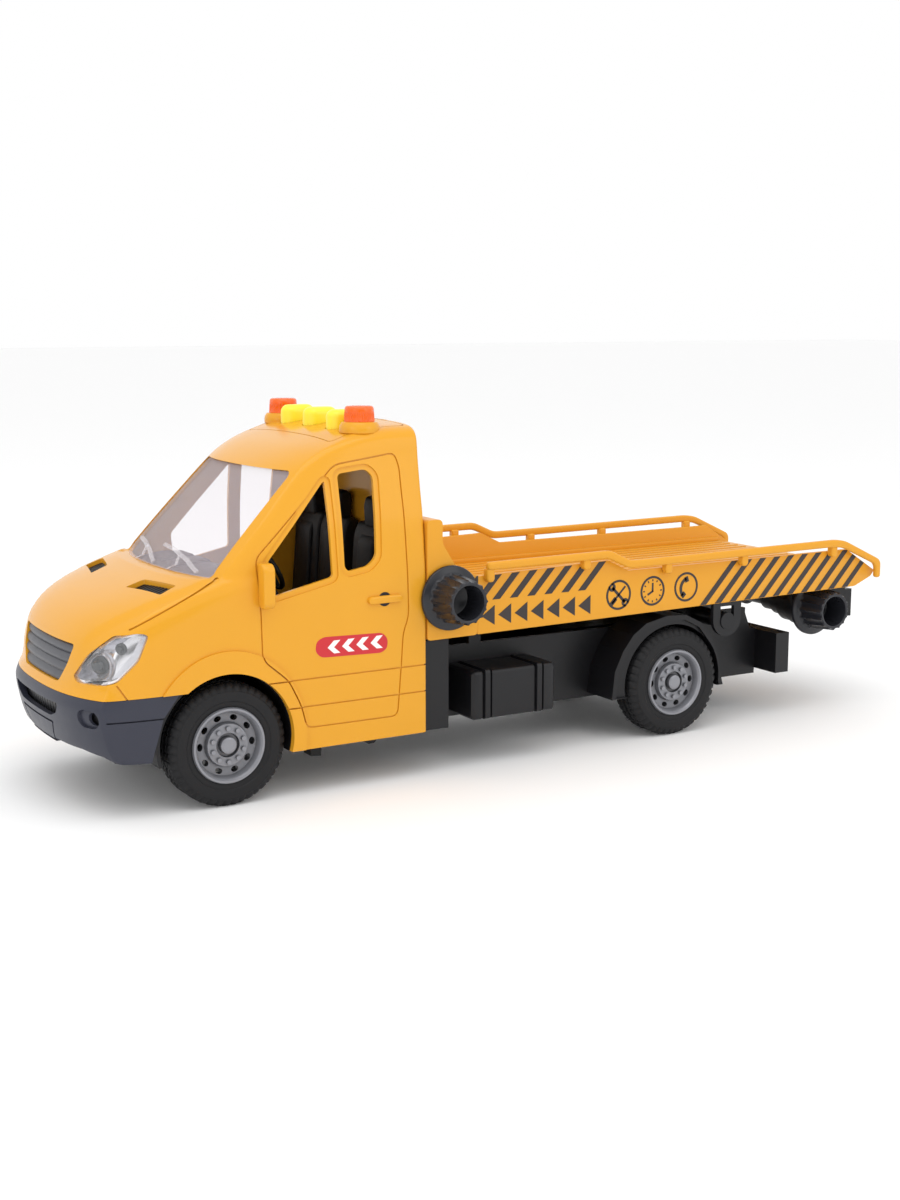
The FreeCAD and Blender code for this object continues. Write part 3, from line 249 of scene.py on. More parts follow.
def bevel(thing, width, angle=35, segments=2):
    """Rounds off every edge that turns by more than an angle."""
    change = thing.modifiers.new("rounded edges", "BEVEL")
    change.width = width * MM
    change.segments = segments
    change.limit_method = "ANGLE"
    change.angle_limit = math.radians(angle)
    change.harden_normals = False


def softened(thing, width, segments=2):
    """A solid with its edges rounded off for good."""
    bevel(thing, width, segments=segments)
    return evaluated(thing)


def piece(thing, body, slot, *replaced, angle=35, material=None):
    """Gives a finished piece its body and its slot's material, and hides the frame's nodes that it replaces.
    """
    thing.data.materials.clear()
    thing.data.materials.append(material or FINISHES[slot])
    thing.data.shade_smooth()
    thing.data.set_sharp_from_angle(angle=math.radians(angle))
    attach(thing, body)
    if replaced:
        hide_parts(*replaced)
    return thing


# ---------- materials

def linear(hex_colour):
    """Linear colour from an sRGB hex string."""
    parts = [int(hex_colour[i:i + 2], 16) / 255 for i in (0, 2, 4)]
    return [p / 12.92 if p <= 0.04045 else ((p + 0.055) / 1.055) ** 2.4 for p in parts]


MOTTLE_SCALE = 45.0
GLOSS_SCALE = 260.0


def noise_in(material, scale, detail):
    """A noise that stays with the object, as a value from 0 to 1."""
    tree = material.node_tree
    place = tree.nodes.new("ShaderNodeTexCoord")
    noise = tree.nodes.new("ShaderNodeTexNoise")
    noise.inputs["Scale"].default_value = scale
    noise.inputs["Detail"].default_value = detail
    tree.links.new(place.outputs["Object"], noise.inputs["Vector"])
    return noise.outputs["Fac"]


def mottle_and_crevice_shade(material, hex_colour, mottle, crevice_shade):
    """A colour that drifts a little, with painted shade that darkens it in crevices of a given width."""
    tree = material.node_tree
    colour = linear(hex_colour)
    ramp = tree.nodes.new("ShaderNodeMix")
    ramp.data_type = "RGBA"
    ramp.inputs["A"].default_value = [c * (1 - mottle) for c in colour] + [1]
    ramp.inputs["B"].default_value = [min(c * (1 + mottle), 1) for c in colour] + [1]
    tree.links.new(noise_in(material, MOTTLE_SCALE, 3), ramp.inputs["Factor"])
    if not crevice_shade:
        return ramp.outputs["Result"]
    # Painted shade: ambient occlusion darkens the colour in crevices.
    shade = tree.nodes.new("ShaderNodeAmbientOcclusion")
    shade.samples = 8
    shade.inputs["Distance"].default_value = crevice_shade * MM
    tree.links.new(ramp.outputs["Result"], shade.inputs["Color"])
    return shade.outputs["Color"]


def uneven_gloss(material, rough, specks):
    """A roughness that varies by specks either way."""
    tree = material.node_tree
    spread = tree.nodes.new("ShaderNodeMapRange")
    spread.inputs["To Min"].default_value = max(rough - specks, 0.02)
    spread.inputs["To Max"].default_value = min(rough + specks, 1)
    tree.links.new(noise_in(material, GLOSS_SCALE, 4), spread.inputs["Value"])
    return spread.outputs["Result"]


def fine_grain(material, depth, size):
    """A moulded grain of a depth and size in millimetres."""
    tree = material.node_tree
    bump = tree.nodes.new("ShaderNodeBump")
    bump.inputs["Strength"].default_value = 1.0
    bump.inputs["Distance"].default_value = depth * MM
    tree.links.new(noise_in(material, 1.0 / (size * MM), 2), bump.inputs["Height"])
    return bump.outputs["Normal"]


def moulded(name, hex_colour, rough, mottle, grain=None, coat=0, alpha=1, metallic=0, specks=0.06,
            shine=0.5, crevice_shade=0):
    """Moulded plastic: an uneven colour and gloss, a fine grain of a depth and size, and painted shade in
    crevices of a given width.
    """
    material = bpy.data.materials.new(name)
    material.use_nodes = True
    links = material.node_tree.links
    shader = material.node_tree.nodes["Principled BSDF"]
    links.new(mottle_and_crevice_shade(material, hex_colour, mottle, crevice_shade), shader.inputs["Base Color"])
    links.new(uneven_gloss(material, rough, specks), shader.inputs["Roughness"])
    if grain:
        links.new(fine_grain(material, *grain), shader.inputs["Normal"])
    for socket, value in (("Coat Weight", coat), ("Coat Roughness", 0.08), ("Metallic", metallic),
                          ("Specular IOR Level", shine), ("Alpha", alpha)):
        shader.inputs[socket].default_value = value
    return material


def clear(name, hex_colour, alpha, rough=0.03):
    """Clear plastic that lets what is behind it show."""
    return moulded(name, hex_colour, rough, 0.02, specks=0.01, alpha=alpha)


# Name, colour, roughness, how much the colour drifts, and the depth and size of the grain.
YELLOW = moulded("cab_yellow_plastic", "E09F2A", 0.2, 0.02, (0.012, 0.9), coat=0.08, shine=0.25)
BED_YELLOW = moulded("bed_yellow_plastic", "E09D2C", 0.32, 0.03, (0.012, 0.5), shine=0.25)
SLATE = moulded("slate_bumper_plastic", "343642", 0.38, 0.05, (0.02, 0.35), shine=0.35)
BLACK = moulded("black_chassis_plastic", "151518", 0.38, 0.1, (0.025, 0.35), shine=0.35)
INSIDE = moulded("black_interior_plastic", "141416", 0.5, 0.1, (0.03, 0.4), shine=0.3)
CHARCOAL = moulded("charcoal_knob_plastic", "26272C", 0.24, 0.06, (0.01, 0.6), shine=0.4)
RUBBER = moulded("tyre_rubber", "19191B", 0.58, 0.12, (0.03, 0.2), shine=0.3)
# The rim's colour has painted shade in its crevices, up to 5 mm across.
RIM_GREY = moulded("grey_rim_plastic", "8A8B91", 0.33, 0.04, (0.01, 0.4), metallic=0.25, crevice_shade=5)
GRILLE_GREY = moulded("grille_plastic", "45464C", 0.4, 0.06, (0.02, 0.3))
LEMON = moulded("lemon_button_plastic", "FFE838", 0.32, 0.02, (0.008, 0.5))
STEEL = moulded("bright_steel", "B8B8BC", 0.28, 0.05, metallic=1)
NYLON = moulded("white_nylon", "E4E1D6", 0.45, 0.03, (0.01, 0.3))
BOARD_GREEN = moulded("circuit_board_green", "1F6B36", 0.35, 0.15)
GLASS = clear("clear_window_plastic", "DCD2DA", 0.24)
LAMP_CLEAR = clear("clear_lamp_plastic", "F4F6F8", 0.06)
LAMP_DARK = moulded("lamp_bulb_plastic", "303236", 0.2, 0.05)
WIPER_CLEAR = clear("moulded_wiper_plastic", "F0ECF0", 0.28, rough=0.12)
INK = moulded("dark_grey_ink", "2F2725", 0.45, 0.06)
BADGE_RED = moulded("red_ink", "C8202A", 0.35, 0.04)
BADGE_WHITE = moulded("white_ink", "F4F2EE", 0.4, 0.02)
CHROME = moulded("vacuum_chrome", "ECECF0", 0.16, 0.03, metallic=0.8)
ORANGE_LENS = moulded("orange_beacon_plastic", "FA6A12", 0.1, 0.04, specks=0.03, alpha=0.86)

# The material of each slot.
FINISHES = {
    "cab_yellow": YELLOW, "bed_yellow": BED_YELLOW, "clear_window": GLASS, "lamp_lens": LAMP_CLEAR,
    "lamp_chrome": CHROME, "grille_grey": GRILLE_GREY, "vent_black": BLACK, "bumper_slate": SLATE,
    "beacon_orange": ORANGE_LENS, "button_yellow": LEMON, "circuit_board": BOARD_GREEN,
    "led_clear": LAMP_CLEAR, "speaker_black": BLACK, "cell_steel": STEEL, "interior_black": INSIDE,
    "chassis_black": BLACK, "screw_steel": STEEL, "tyre_black": RUBBER, "rim_grey": RIM_GREY,
    "axle_steel": STEEL, "gear_nylon": NYLON, "flywheel_steel": STEEL, "motor_plastic": BLACK,
    "knob_charcoal": CHARCOAL,
}


# ---------- cab surface

def pchip(table):
    """A smooth curve through (position, value) pairs that never overshoots them."""
    x = np.array([row[0] for row in table], float)
    y = np.array([row[1] for row in table], float)
    step = np.diff(x)
    slope = np.diff(y) / step
    tangent = np.zeros_like(x)
    tangent[0] = slope[0]
    tangent[-1] = slope[-1]
    for i in range(1, len(x) - 1):
        if slope[i - 1] * slope[i] > 0:
            w1 = 2 * step[i] + step[i - 1]
            w2 = step[i] + 2 * step[i - 1]
            tangent[i] = (w1 + w2) / (w1 / slope[i - 1] + w2 / slope[i])

    def curve(at):
        at = np.clip(np.asarray(at, float), x[0], x[-1])
        i = np.clip(np.searchsorted(x, at, side="right") - 1, 0, len(x) - 2)
        span = step[i]
        t = (at - x[i]) / span
        return ((2 * t ** 3 - 3 * t ** 2 + 1) * y[i] + (t ** 3 - 2 * t ** 2 + t) * span * tangent[i]
                + (-2 * t ** 3 + 3 * t ** 2) * y[i + 1] + (t ** 3 - t ** 2) * span * tangent[i + 1])
    return curve


CAB_REAR = 51.4
CAB_BOTTOM = 18.9
CAB_TOP = 146.0
# Height and how far forward, on the middle of the truck: bumper, nose, bonnet, windscreen, roof.
front_line = pchip([
    (15, 189), (18.9, 190), (22.1, 192.5), (25, 195.5), (36, 199), (43, 200), (47.6, 198.6),
    (50.8, 197), (58.5, 195.8), (66.2, 193.6), (71.7, 189.6), (75, 185.8), (78.9, 179.2),
    (81.2, 174.2), (83.5, 168.5), (85.1, 164.2), (86.7, 159.4), (88.2, 154.8), (89.5, 150.6),
    (93, 147.4), (102.6, 138.2), (115.7, 125.1), (127, 113.5),
    (130, 110.2), (132.5, 106.8), (136.6, 99.5), (140.6, 89), (143.4, 80), (144.8, 69.5),
    (145.5, 61), (146, 55), (147, 53),
])
# Height and half width.
half_line = pchip([
    (15, 53.5), (60, 53.5), (83, 53.4), (95, 52.6), (108, 51.4), (120, 49.3), (132, 47.4),
    (139.5, 46.4), (142.2, 45), (144, 42.2), (144.9, 38.5), (145.5, 31), (146, 20), (147, 18),
])
BOW_2 = 2.49
BOW_4 = 1.48
BOW_SCALE = 36.3
# How far the front corners reach inwards and backwards, and the radius of the rear corners.
CORNER_IN = 3.4
CORNER_BACK = 27.0
REAR_ROUND = 1.4
# Into how many spans each stretch of a level outline is divided.
SPANS = {"rear": 30, "round": 4, "side": 76, "corner": 30, "front": 56}


def bow(y):
    """How far the nose falls back towards its sides."""
    share = np.abs(y) / BOW_SCALE
    return BOW_2 * share ** 2 + BOW_4 * share ** 4


def bezier(p0, p1, p2, p3, steps):
    """Points along a cubic curve."""
    t = np.linspace(0, 1, steps + 1)[:, None]
    p0, p1, p2, p3 = (np.array(p, float) for p in (p0, p1, p2, p3))
    return (1 - t) ** 3 * p0 + 3 * t * (1 - t) ** 2 * p1 + 3 * t ** 2 * (1 - t) * p2 + t ** 3 * p3


def cab_outline(front, half, rear, turn):
    """A level outline of the cab: points (x, y), anticlockwise from the middle of the rear."""
    corner = max(half - CORNER_IN, half * 0.6)
    corner_x = front - float(bow(corner))
    reach = max(min(CORNER_BACK, 0.7 * (corner_x - rear)), 0.3)
    ys = np.linspace(0, half - turn, SPANS["rear"] // 2 + 1)
    back = np.column_stack([np.full(len(ys), rear), ys])
    angles = np.linspace(0, math.pi / 2, SPANS["round"] + 1)
    arc = np.column_stack([rear + turn * (1 - np.cos(angles)), half - turn + turn * np.sin(angles)])
    xs = np.linspace(rear + turn, corner_x - reach, SPANS["side"] + 1)
    side = np.column_stack([xs, np.full(len(xs), half)])
    scale = reach / CORNER_BACK
    curve = bezier((corner_x - reach, half), (corner_x - reach + 15.0 * scale, half),
                   (corner_x - 1.1 * scale, corner + 1.8 * scale), (corner_x, corner), SPANS["corner"])
    ys = np.linspace(corner, 0, SPANS["front"] // 2 + 1)
    nose = np.column_stack([front - bow(ys), ys])
    left = np.vstack([back[:-1], arc[:-1], side[:-1], curve[:-1], nose])
    right = left[1:-1][::-1] * (1, -1)
    return np.vstack([left, right])[::-1]


def smoothstep(low, high, value):
    t = np.clip((value - low) / (high - low), 0, 1)
    return t * t * (3 - 2 * t)


# Along the bonnet: how far forward, and where its raised middle ends.
bonnet_edge = pchip([(140, 50), (146, 49.6), (153.5, 49.5), (161.4, 48.4), (171.8, 46.2), (180.6, 42.6),
                     (185.4, 39.6), (188.1, 37.6), (196, 33)])


def bonnet_rise(x, y, z):
    """How far the middle of the bonnet stands over its shoulders."""
    across = smoothstep(0, 1.7, bonnet_edge(x) - np.abs(y))
    along = smoothstep(60, 68, z) * (1 - smoothstep(88.6, 89.6, z))
    return 1.3 * across * along


def cab_rows(bottom, top, spacing, inset, detail=False):
    """Rows of points over the cab, evenly spaced along its front line and moved inwards by inset."""
    fine = np.linspace(bottom, top, 4000)
    front = front_line(fine)
    run = np.concatenate([[0], np.cumsum(np.hypot(np.diff(fine), np.diff(front)))])
    rows = []
    for height in np.interp(np.linspace(0, run[-1], int(run[-1] / spacing) + 1), run, fine):
        deep = inset(height) if callable(inset) else inset
        slope = float(front_line(height + 0.05) - front_line(height - 0.05)) / 0.1
        level = 1 / math.hypot(1, slope)
        upright = max(-slope * level, 0)
        flat = cab_outline(float(front_line(height)) - deep * level, float(half_line(height)) - deep,
                           CAB_REAR + deep, max(REAR_ROUND - deep, 0.2))
        row = np.column_stack([flat, np.full(len(flat), height - deep * upright)])
        if detail:
            row[:, 2] += bonnet_rise(*row.T)
        rows.append(row)
    return rows


def closed_shell(name, outer, inner):
    """A solid wall between two sets of rows, open at the bottom and closed at the top."""
    count = len(outer[0])
    second = len(outer) * count
    verts = np.vstack(outer + inner)
    faces = wall(0, len(outer), count) + [face[::-1] for face in wall(second, len(inner), count)]
    faces.append(tuple(second - count + c for c in range(count)))
    faces.append(tuple(len(verts) - count + c for c in range(count))[::-1])
    for c in range(count):
        d = (c + 1) % count
        faces.append((d, c, second + c, second + d))
    return new_mesh(name, verts.tolist(), faces)


CELL = 1.3


def cab_solid(inset, spacing=CELL, bottom=15.5):
    """The whole cab as one solid, moved inwards by inset."""
    return solid_block("cab solid", cab_rows(bottom, CAB_TOP, spacing, inset))


def skin(outside, inside, name, spacing=CELL, bottom=CAB_BOTTOM, detail=False):
    """A layer of the cab's wall between two depths."""
    outer = cab_rows(bottom, CAB_TOP, spacing, outside, detail)
    inner = cab_rows(bottom, CAB_TOP, spacing * 2, inside)
    return closed_shell(name, outer, inner)


# Outlines seen from the front (y, z), from the side (x, z) or from above (x, y).
WINDSCREEN = [(-46, 89.5), (46, 89.5), (42.5, 127), (40.5, 128.8), (-40.5, 128.8), (-42.5, 127)]
GRILLE = [(-29.9, 66.2), (-27, 58), (-21.1, 50.7), (21.1, 50.7), (27, 58), (29.9, 66.2)]
FRONT_WINDOW = [(119.6, 81.5), (121.3, 94.8), (95.4, 124), (94.4, 124.6), (93.6, 87.1)]
REAR_WINDOW = [(88.6, 127.2), (76, 128.6), (72.8, 125.5), (73.9, 93.7), (77.7, 90.2), (86.6, 88.8),
               (88.2, 90.5)]
DOOR = [(126.3, 96.5), (89.8, 130.9), (62.9, 134.5), (61, 129), (59.9, 68.5), (62.5, 61.8), (63.5, 47.9),
        (65.3, 27.6), (106.6, 27.8), (108.9, 37), (114.2, 47.8), (124.8, 56.8), (125.2, 76.8)]
BONNET_GAP = [(177.2, 73.3), (140.5, 89.7), (140.5, 90.3), (177.2, 73.9)]
FENDER_SEAM = [(182.9, 53.4), (179.1, 47.4), (179.7, 47.2), (183.5, 53.2)]
SILL_LINES = [[(50, z - 0.3), (124, z - 0.3), (124, z + 0.3), (50, z + 0.3)] for z in (47.5, 36.4)]
BUMPER_SPACE = [(150, 8), (230, 8), (230, 47.6), (150, 47.6)]
BRACKET_SPACE = [(49, 14), (49, 36), (55, 36), (55, 14)]
HOOD_VENT = [(155.1, 42.4), (160.2, 21.6), (167.5, 20.5), (162.2, 43.6)]
HEADLIGHT = [
    (193.5, 32.2, 54.5), (192.8, 35.1, 52.5), (187.6, 48.3, 53), (182.1, 50.8, 54.3), (173.7, 51.8, 61.8),
    (169.9, 52.2, 71.4), (173.1, 50.9, 72.3), (182.4, 47.2, 71.4), (189.5, 39.1, 63.7),
]
ARCH_CENTRE = (139.5, 26)
ARCH_RADIUS = 27.3
FLARE_REACH = 33.0
FLARE_HEIGHT = 36.2
# The roof panel's rear end, front end and half width.
ROOF_PANEL = (53.4, 88, 39.9)
# From the left side's skin inwards, and from the right side's.
SIDE_REACHES = ((40, 60), (-60, -40))
# The way that the left headlight faces, and the way across it.
DIAGONAL = Vector((1, 1, 0)).normalized()
ACROSS = Vector((-1, 1, 0)).normalized()


def from_front(outline, low=100, high=170):
    """A cutter along the truck for an outline seen from the front."""
    return prism(outline, "x", low, high)


def headlight_block(side, grow=0, depth=26):
    """The headlight's outline as a prism along the diagonal that it faces."""
    flat = [(Vector(p).dot(ACROSS), p[2]) for p in HEADLIGHT]
    flat = grown(rounded(flat, 1.6, 3), grow)
    rows = []
    for along in (172, 172 - depth):
        places = [ACROSS * a + DIAGONAL * along for a, _ in flat]
        rows.append([(place.x, place.y * side, z) for place, (_, z) in zip(places, flat)])
    return facing_out(solid_block("cutter", rows))


def roof_outline(gap):
    """The roof panel seen from above, smaller by a gap all round."""
    rear, front, half = ROOF_PANEL
    corners = [(rear + gap, -half + gap), (front - gap, -half + gap), (front - gap, half - gap),
               (rear + gap, half - gap)]
    return rounded(corners, 2.5)


def roof_cutter(outline):
    return prism(outline, "z", 130, 160)


def recess(outline, low, high, core):
    """A shallow recess in the cab's side, as deep as a core solid leaves it."""
    return carve(prism(outline, "y", low, high), [copy_of(core, "core")])


def ring_groove(outline, width, low, high, core):
    """A groove along a closed outline on the cab's side, as deep as a core solid leaves it."""
    ring = prism(grown(outline, width / 2), "y", low, high)
    carve(ring, [prism(grown(outline, -width / 2), "y", low - 1, high + 1)])
    return carve(ring, [copy_of(core, "core")])


def arch_bands():
    """The raised band round each front wheel arch."""
    proud = cab_solid(-0.9, bottom=CAB_BOTTOM + 0.05)
    carve(proud, [cab_solid(1, spacing=2.6)])
    ellipse = circle(ARCH_CENTRE, FLARE_REACH, 96, FLARE_HEIGHT / FLARE_REACH)
    bands = []
    for low, high in ((45, 60), (-60, -45)):
        bands.append(within(prism(ellipse, "y", low, high), copy_of(proud, "proud")))
    drop(proud)
    return bands


def side_cuts():
    """The door's groove, the seams and sill lines, and the stepped side windows."""
    core = cab_solid(0.6)
    cuts = [ring_groove(rounded(DOOR, 3), 0.6, low, high, core) for low, high in SIDE_REACHES]
    for outline in SILL_LINES + [BONNET_GAP, FENDER_SEAM]:
        cuts += [recess(outline, low, high, core) for low, high in SIDE_REACHES]
    for outline, turn in ((FRONT_WINDOW, 1.5), (REAR_WINDOW, 2)):
        smooth = rounded(outline, turn)
        for low, high in SIDE_REACHES:
            cuts.append(recess(grown(smooth, 2.3), low, high, core))
            cuts.append(prism(smooth, "y", low, high))
    drop(core)
    return cuts


def openings():
    """The cab's openings for its other parts, and the wheel arches."""
    cuts = [from_front(rounded(WINDSCREEN, 2)), prism(BUMPER_SPACE, "y", -70, 70),
            from_front(rounded(GRILLE, 2), 180, 230), roof_cutter(roof_outline(0))]
    vent = rounded(HOOD_VENT, 1)
    cuts.append(prism(vent, "z", 75, 95))
    cuts.append(prism([(x, -y) for x, y in vent][::-1], "z", 75, 95))
    cuts += [headlight_block(side) for side, _ in SIDES]
    arch = circle(ARCH_CENTRE, ARCH_RADIUS, 96)
    cuts += [prism(arch, "y", 40, 70), prism(arch, "y", -70, -40)]
    cuts.append(prism(BRACKET_SPACE, "y", -31.8, 31.8))
    return cuts


def make_cab():
    shell = skin(0, 2, "cab_skin", detail=True)
    carve(shell, arch_bands(), "UNION")
    carve(shell, side_cuts())
    carve(shell, openings())
    piece(shell, "truck", "cab_yellow", "cab_shell")


def turned(name, loop, centre, axis, steps, flute=None):
    """A ring swept round an axis from a closed loop of (radius, along) points."""
    verts = []
    for i in range(steps):
        angle = 2 * math.pi * i / steps
        for radius, along in loop:
            reach = radius - (flute(angle, radius, along) if flute else 0)
            a, b = reach * math.cos(angle), reach * math.sin(angle)
            offset = (a, along, b) if axis == "y" else (b, a, along)
            verts.append(tuple(c + o for c, o in zip(centre, offset)))
    count = len(loop)
    faces = []
    for i in range(steps):
        here, there = i * count, (i + 1) % steps * count
        for j in range(count):
            k = (j + 1) % count
            faces.append((here + j, here + k, there + k, there + j))
    return facing_out(new_mesh(name, verts, faces))


# ---------- roof

BEACON_X = 72.6
BEACON_Y = 36.1
BUTTON_X = 72.5
BUTTON_PITCH = 21.8
BUTTONS = ((-1, "right"), (0, "middle"), (1, "left"))
BEZEL_LOOP = [(4.9, 140.5), (8.3, 142.5), (8.4, 144), (8.1, 145.4), (7.3, 146.6), (6.5, 146.8),
              (4.9, 146.8)]
LENS_LOOP = [
    (4.9, 146.8), (6.25, 146.8), (6.3, 147.1), (6.18, 147.5), (6.1, 148.9), (6.02, 150.3), (6, 150.7),
    (5.9, 151.9), (5.65, 152.6), (5.1, 153), (0.05, 153.1), (0.05, 151.9), (4.6, 151.8), (4.8, 151.2),
]


def button_outline(step, half_width, steps=10):
    return capsule((BUTTON_X, step * BUTTON_PITCH), half_width, 3, steps)


def make_roof():
    panel = skin(0, 2, "roof_panel_skin")
    within(panel, roof_cutter(roof_outline(0.45)))
    carve(panel, [roof_cutter(button_outline(step, 4.85)) for step, _ in BUTTONS])
    piece(panel, "truck", "cab_yellow", "roof_panel")
    for step, name in BUTTONS:
        cap = softened(prism(button_outline(step, 4.5, 16), "z", 139.6, 151), 3.1, 6)
        piece(cap, f"button_{name}", "button_yellow", f"sound_button_{name}", angle=50)


def lens_flutes(angle, radius, along):
    """Fine upright ribs round the inside of a beacon lens."""
    if radius < 5.3 or not 147.3 < along < 150.4:
        return 0
    return 0.34 * (0.5 + 0.5 * math.cos(32 * angle))


def make_beacons():
    rings = [turned("bezel", BEZEL_LOOP, (BEACON_X, side * BEACON_Y, 0), "z", 64) for side, _ in SIDES]
    piece(joined("beacon_bezel_rings", rings), "truck", "cab_yellow", "beacon_bezels")
    for side, name in SIDES:
        lens = turned(f"beacon_{name}", LENS_LOOP, (BEACON_X, side * BEACON_Y, 0), "z", 240, lens_flutes)
        piece(lens, "truck", "beacon_orange", f"beacon_lens_{name}", angle=50)


# ---------- glazing and lamps

WIPERS = [
    [(37, 91), (26, 94.4), (12, 96.6), (-1, 97.4)],
    [(1, 90.8), (-10, 94), (-23, 96), (-35, 96.4)],
]
WIPER_ARMS = [[(17, 90.2), (21, 92), (18, 95.6)], [(-18, 90.2), (-14, 91.6), (-17, 95.2)]]


# Each lamp's place on the left, the radius of its dish, and the radius and length of its bulb.
LAMPS = ((Vector((190.5, 44.5, 59)), 7.4, 2.3, 3.2), (Vector((184, 50, 65.6)), 4.6, 1.5, 2.4))
BULB_DEPTH = 8.2


def make_windscreen():
    pane = skin(0.5, 1.7, "windscreen_pane")
    within(pane, from_front(rounded(grown(WINDSCREEN, -0.25), 2)))
    piece(pane, "truck", "clear_window", "windscreen", angle=50)


def make_wipers():
    relief = skin(0, 0.7, "wiper_relief")
    bars = [from_front(strip(line, 0.9)) for line in WIPERS]
    bars += [from_front(strip(line, 0.7)) for line in WIPER_ARMS]
    made = [within(copy_of(relief, "wiper"), bar) for bar in bars]
    drop(relief)
    piece(joined("moulded_wipers", made), "truck", "clear_window", material=WIPER_CLEAR)


def ball(radius, middle):
    shape = bmesh.new()
    bmesh.ops.create_uvsphere(shape, u_segments=48, v_segments=32, radius=radius * MM)
    mesh = bpy.data.meshes.new("ball")
    shape.to_mesh(mesh)
    shape.free()
    mesh.transform(Matrix.Translation(middle * MM))
    return placed("ball", mesh)


def make_headlight(side, name):
    """A headlight's clear lens, and the bright bucket behind it with a round dish for each lamp."""
    lens = skin(0.1, 1.1, f"headlight_{name}")
    within(lens, headlight_block(side, -0.2))
    piece(lens, "truck", "lamp_lens", f"headlight_lens_{name}", angle=50)

    bucket = cab_solid(1.3, spacing=2)
    within(bucket, headlight_block(side, -0.15, 22))
    hollow = within(cab_solid(1.2, 2), headlight_block(side, -1.1))
    carve(hollow, [cab_solid(7, spacing=2)])
    carve(bucket, [hollow])
    flip = Vector((1, side, 1))
    for place, radius, _, _ in LAMPS:
        carve(bucket, [ball(radius, (place - DIAGONAL * radius * 0.55) * flip)])
    return bucket


def lamp_bulb(side, place, radius, length):
    """A bulb on its socket, at the bottom of its dish."""
    loop = [(0.05, 0), (radius * 1.5, 0), (radius * 1.5, 0.8), (radius, 1), (radius, length * 0.7),
            (radius * 0.7, length), (0.05, length)]
    bulb = turned("bulb", loop, (0, 0, 0), "z", 32)
    flip = Vector((1, side, 1))
    bulb.data.transform((DIAGONAL * flip).to_track_quat("Z", "Y").to_matrix().to_4x4())
    bulb.data.transform(Matrix.Translation((place - DIAGONAL * BULB_DEPTH) * flip * MM))
    return bulb


def make_lamps():
    buckets = [make_headlight(side, name) for side, name in SIDES]
    both = joined("headlight_buckets", buckets)
    piece(both, "truck", "lamp_chrome", "headlight_reflectors", angle=50)
    bulbs = [lamp_bulb(side, place, *size) for side, _ in SIDES for place, _, *size in LAMPS]
    piece(joined("headlight_bulbs", bulbs), "truck", "led_clear", material=LAMP_DARK)


def grille_depth(height):
    """Four rounded bars, one above the other."""
    share = (height - 50.6) / 3.95 % 1
    return 1.7 - 1.15 * math.sin(math.pi * share) ** 0.55


def make_grille():
    outer = cab_rows(47.5, 69, 0.3, grille_depth)
    inner = cab_rows(47.5, 69, 2, 4)
    bars = closed_shell("grille_bars", outer, inner)
    within(bars, from_front(rounded(grown(GRILLE, -0.3), 2), 180, 230))
    piece(bars, "truck", "grille_grey", "grille", angle=60)


def vent_slats(side, outline):
    """Eleven thin bars across a hood vent."""
    bars = []
    for step in range(11):
        y = side * (22.6 + step * 2)
        front_y = y - side * 0.5
        bar = prism([(150, y - 0.45), (172, front_y - 0.45), (172, front_y + 0.45), (150, y + 0.45)],
                    "z", 75, 95)
        bars.append(within(bar, prism(outline, "z", 74, 96)))
    return joined("comb", bars)


def make_vents():
    floor = skin(1.5, 2.8, "vent_floor")
    slats = skin(0.45, 1.7, "vent_slats")
    made = []
    for side, _ in SIDES:
        outline = [(x, y * side) for x, y in rounded(grown(HOOD_VENT, -0.2), 1)]
        made.append(within(copy_of(floor, "floor"), prism(outline, "z", 75, 95)))
        made.append(within(copy_of(slats, "slats"), vent_slats(side, outline)))
    drop(floor, slats)
    piece(joined("vent_inserts", made), "truck", "vent_black", "hood_vents")


# ---------- bumper

BUMPER_SIDE = [(159, 47.6), (165.8, 38.7), (170, 25), (172.5, 14), (230, 14), (230, 47.6)]
# What the bumper's lower edge leaves free, seen from the front.
BUMPER_LOW = [
    (-60, 8), (-60, 21.9), (-54, 21.9), (-51, 22.6), (-47, 25.4), (-37, 27), (-15.5, 27.2),
    (-14, 25.4), (14, 25.4), (15.5, 27.2), (37, 27), (47, 25.4), (51, 22.6), (54, 21.9),
    (60, 21.9), (60, 8),
]
BUMPER_SLOT = [(-26.5, 43.4), (-24.5, 39.4), (-18.5, 37.2), (18.5, 37.2), (24.5, 39.4), (26.5, 43.4)]
BUMPER_CREASE = [(150, 38.4), (187.5, 38.9), (187.5, 39.5), (150, 39)]
PLATE = [(-19.5, 35), (-14.5, 25.6), (14.5, 25.6), (19.5, 35)]


def fog_outline(side, middle, half_width, straight):
    return [(side * y, z) for y, z in capsule(middle, half_width, straight)]


def make_bumper():
    body = skin(0, 2.4, "bumper_skin", bottom=16.5)
    within(body, prism(grown(BUMPER_SIDE, -0.15), "y", -70, 70))
    core = cab_solid(1)
    cuts = [from_front(BUMPER_LOW, 150, 220), from_front(rounded(BUMPER_SLOT, 1.5), 185, 220)]
    plate_rim = from_front(rounded(PLATE, 1.2), 185, 220)
    carve(plate_rim, [from_front(rounded(grown(PLATE, -0.9), 0.8), 184, 221)])
    cuts.append(carve(plate_rim, [cab_solid(0.7)]))
    for side, _ in SIDES:
        low, high = sorted((side * 48, side * 60))
        cuts.append(recess(BUMPER_CREASE, low, high, core))
        fog = from_front(fog_outline(side, (44.6, 40.2), 3.5, 1.6), 180, 205)
        cuts.append(carve(fog, [cab_solid(1.3)]))
        cuts.append(from_front(fog_outline(side, (46.6, 40.4), 2.5, 0.3), 175, 205))
    drop(core)
    carve(body, cuts)
    piece(body, "truck", "bumper_slate", "bumper")


def upright(low, high, bottom, top):
    """A rectangle seen from the front."""
    return [(low, bottom), (high, bottom), (high, top), (low, top)]


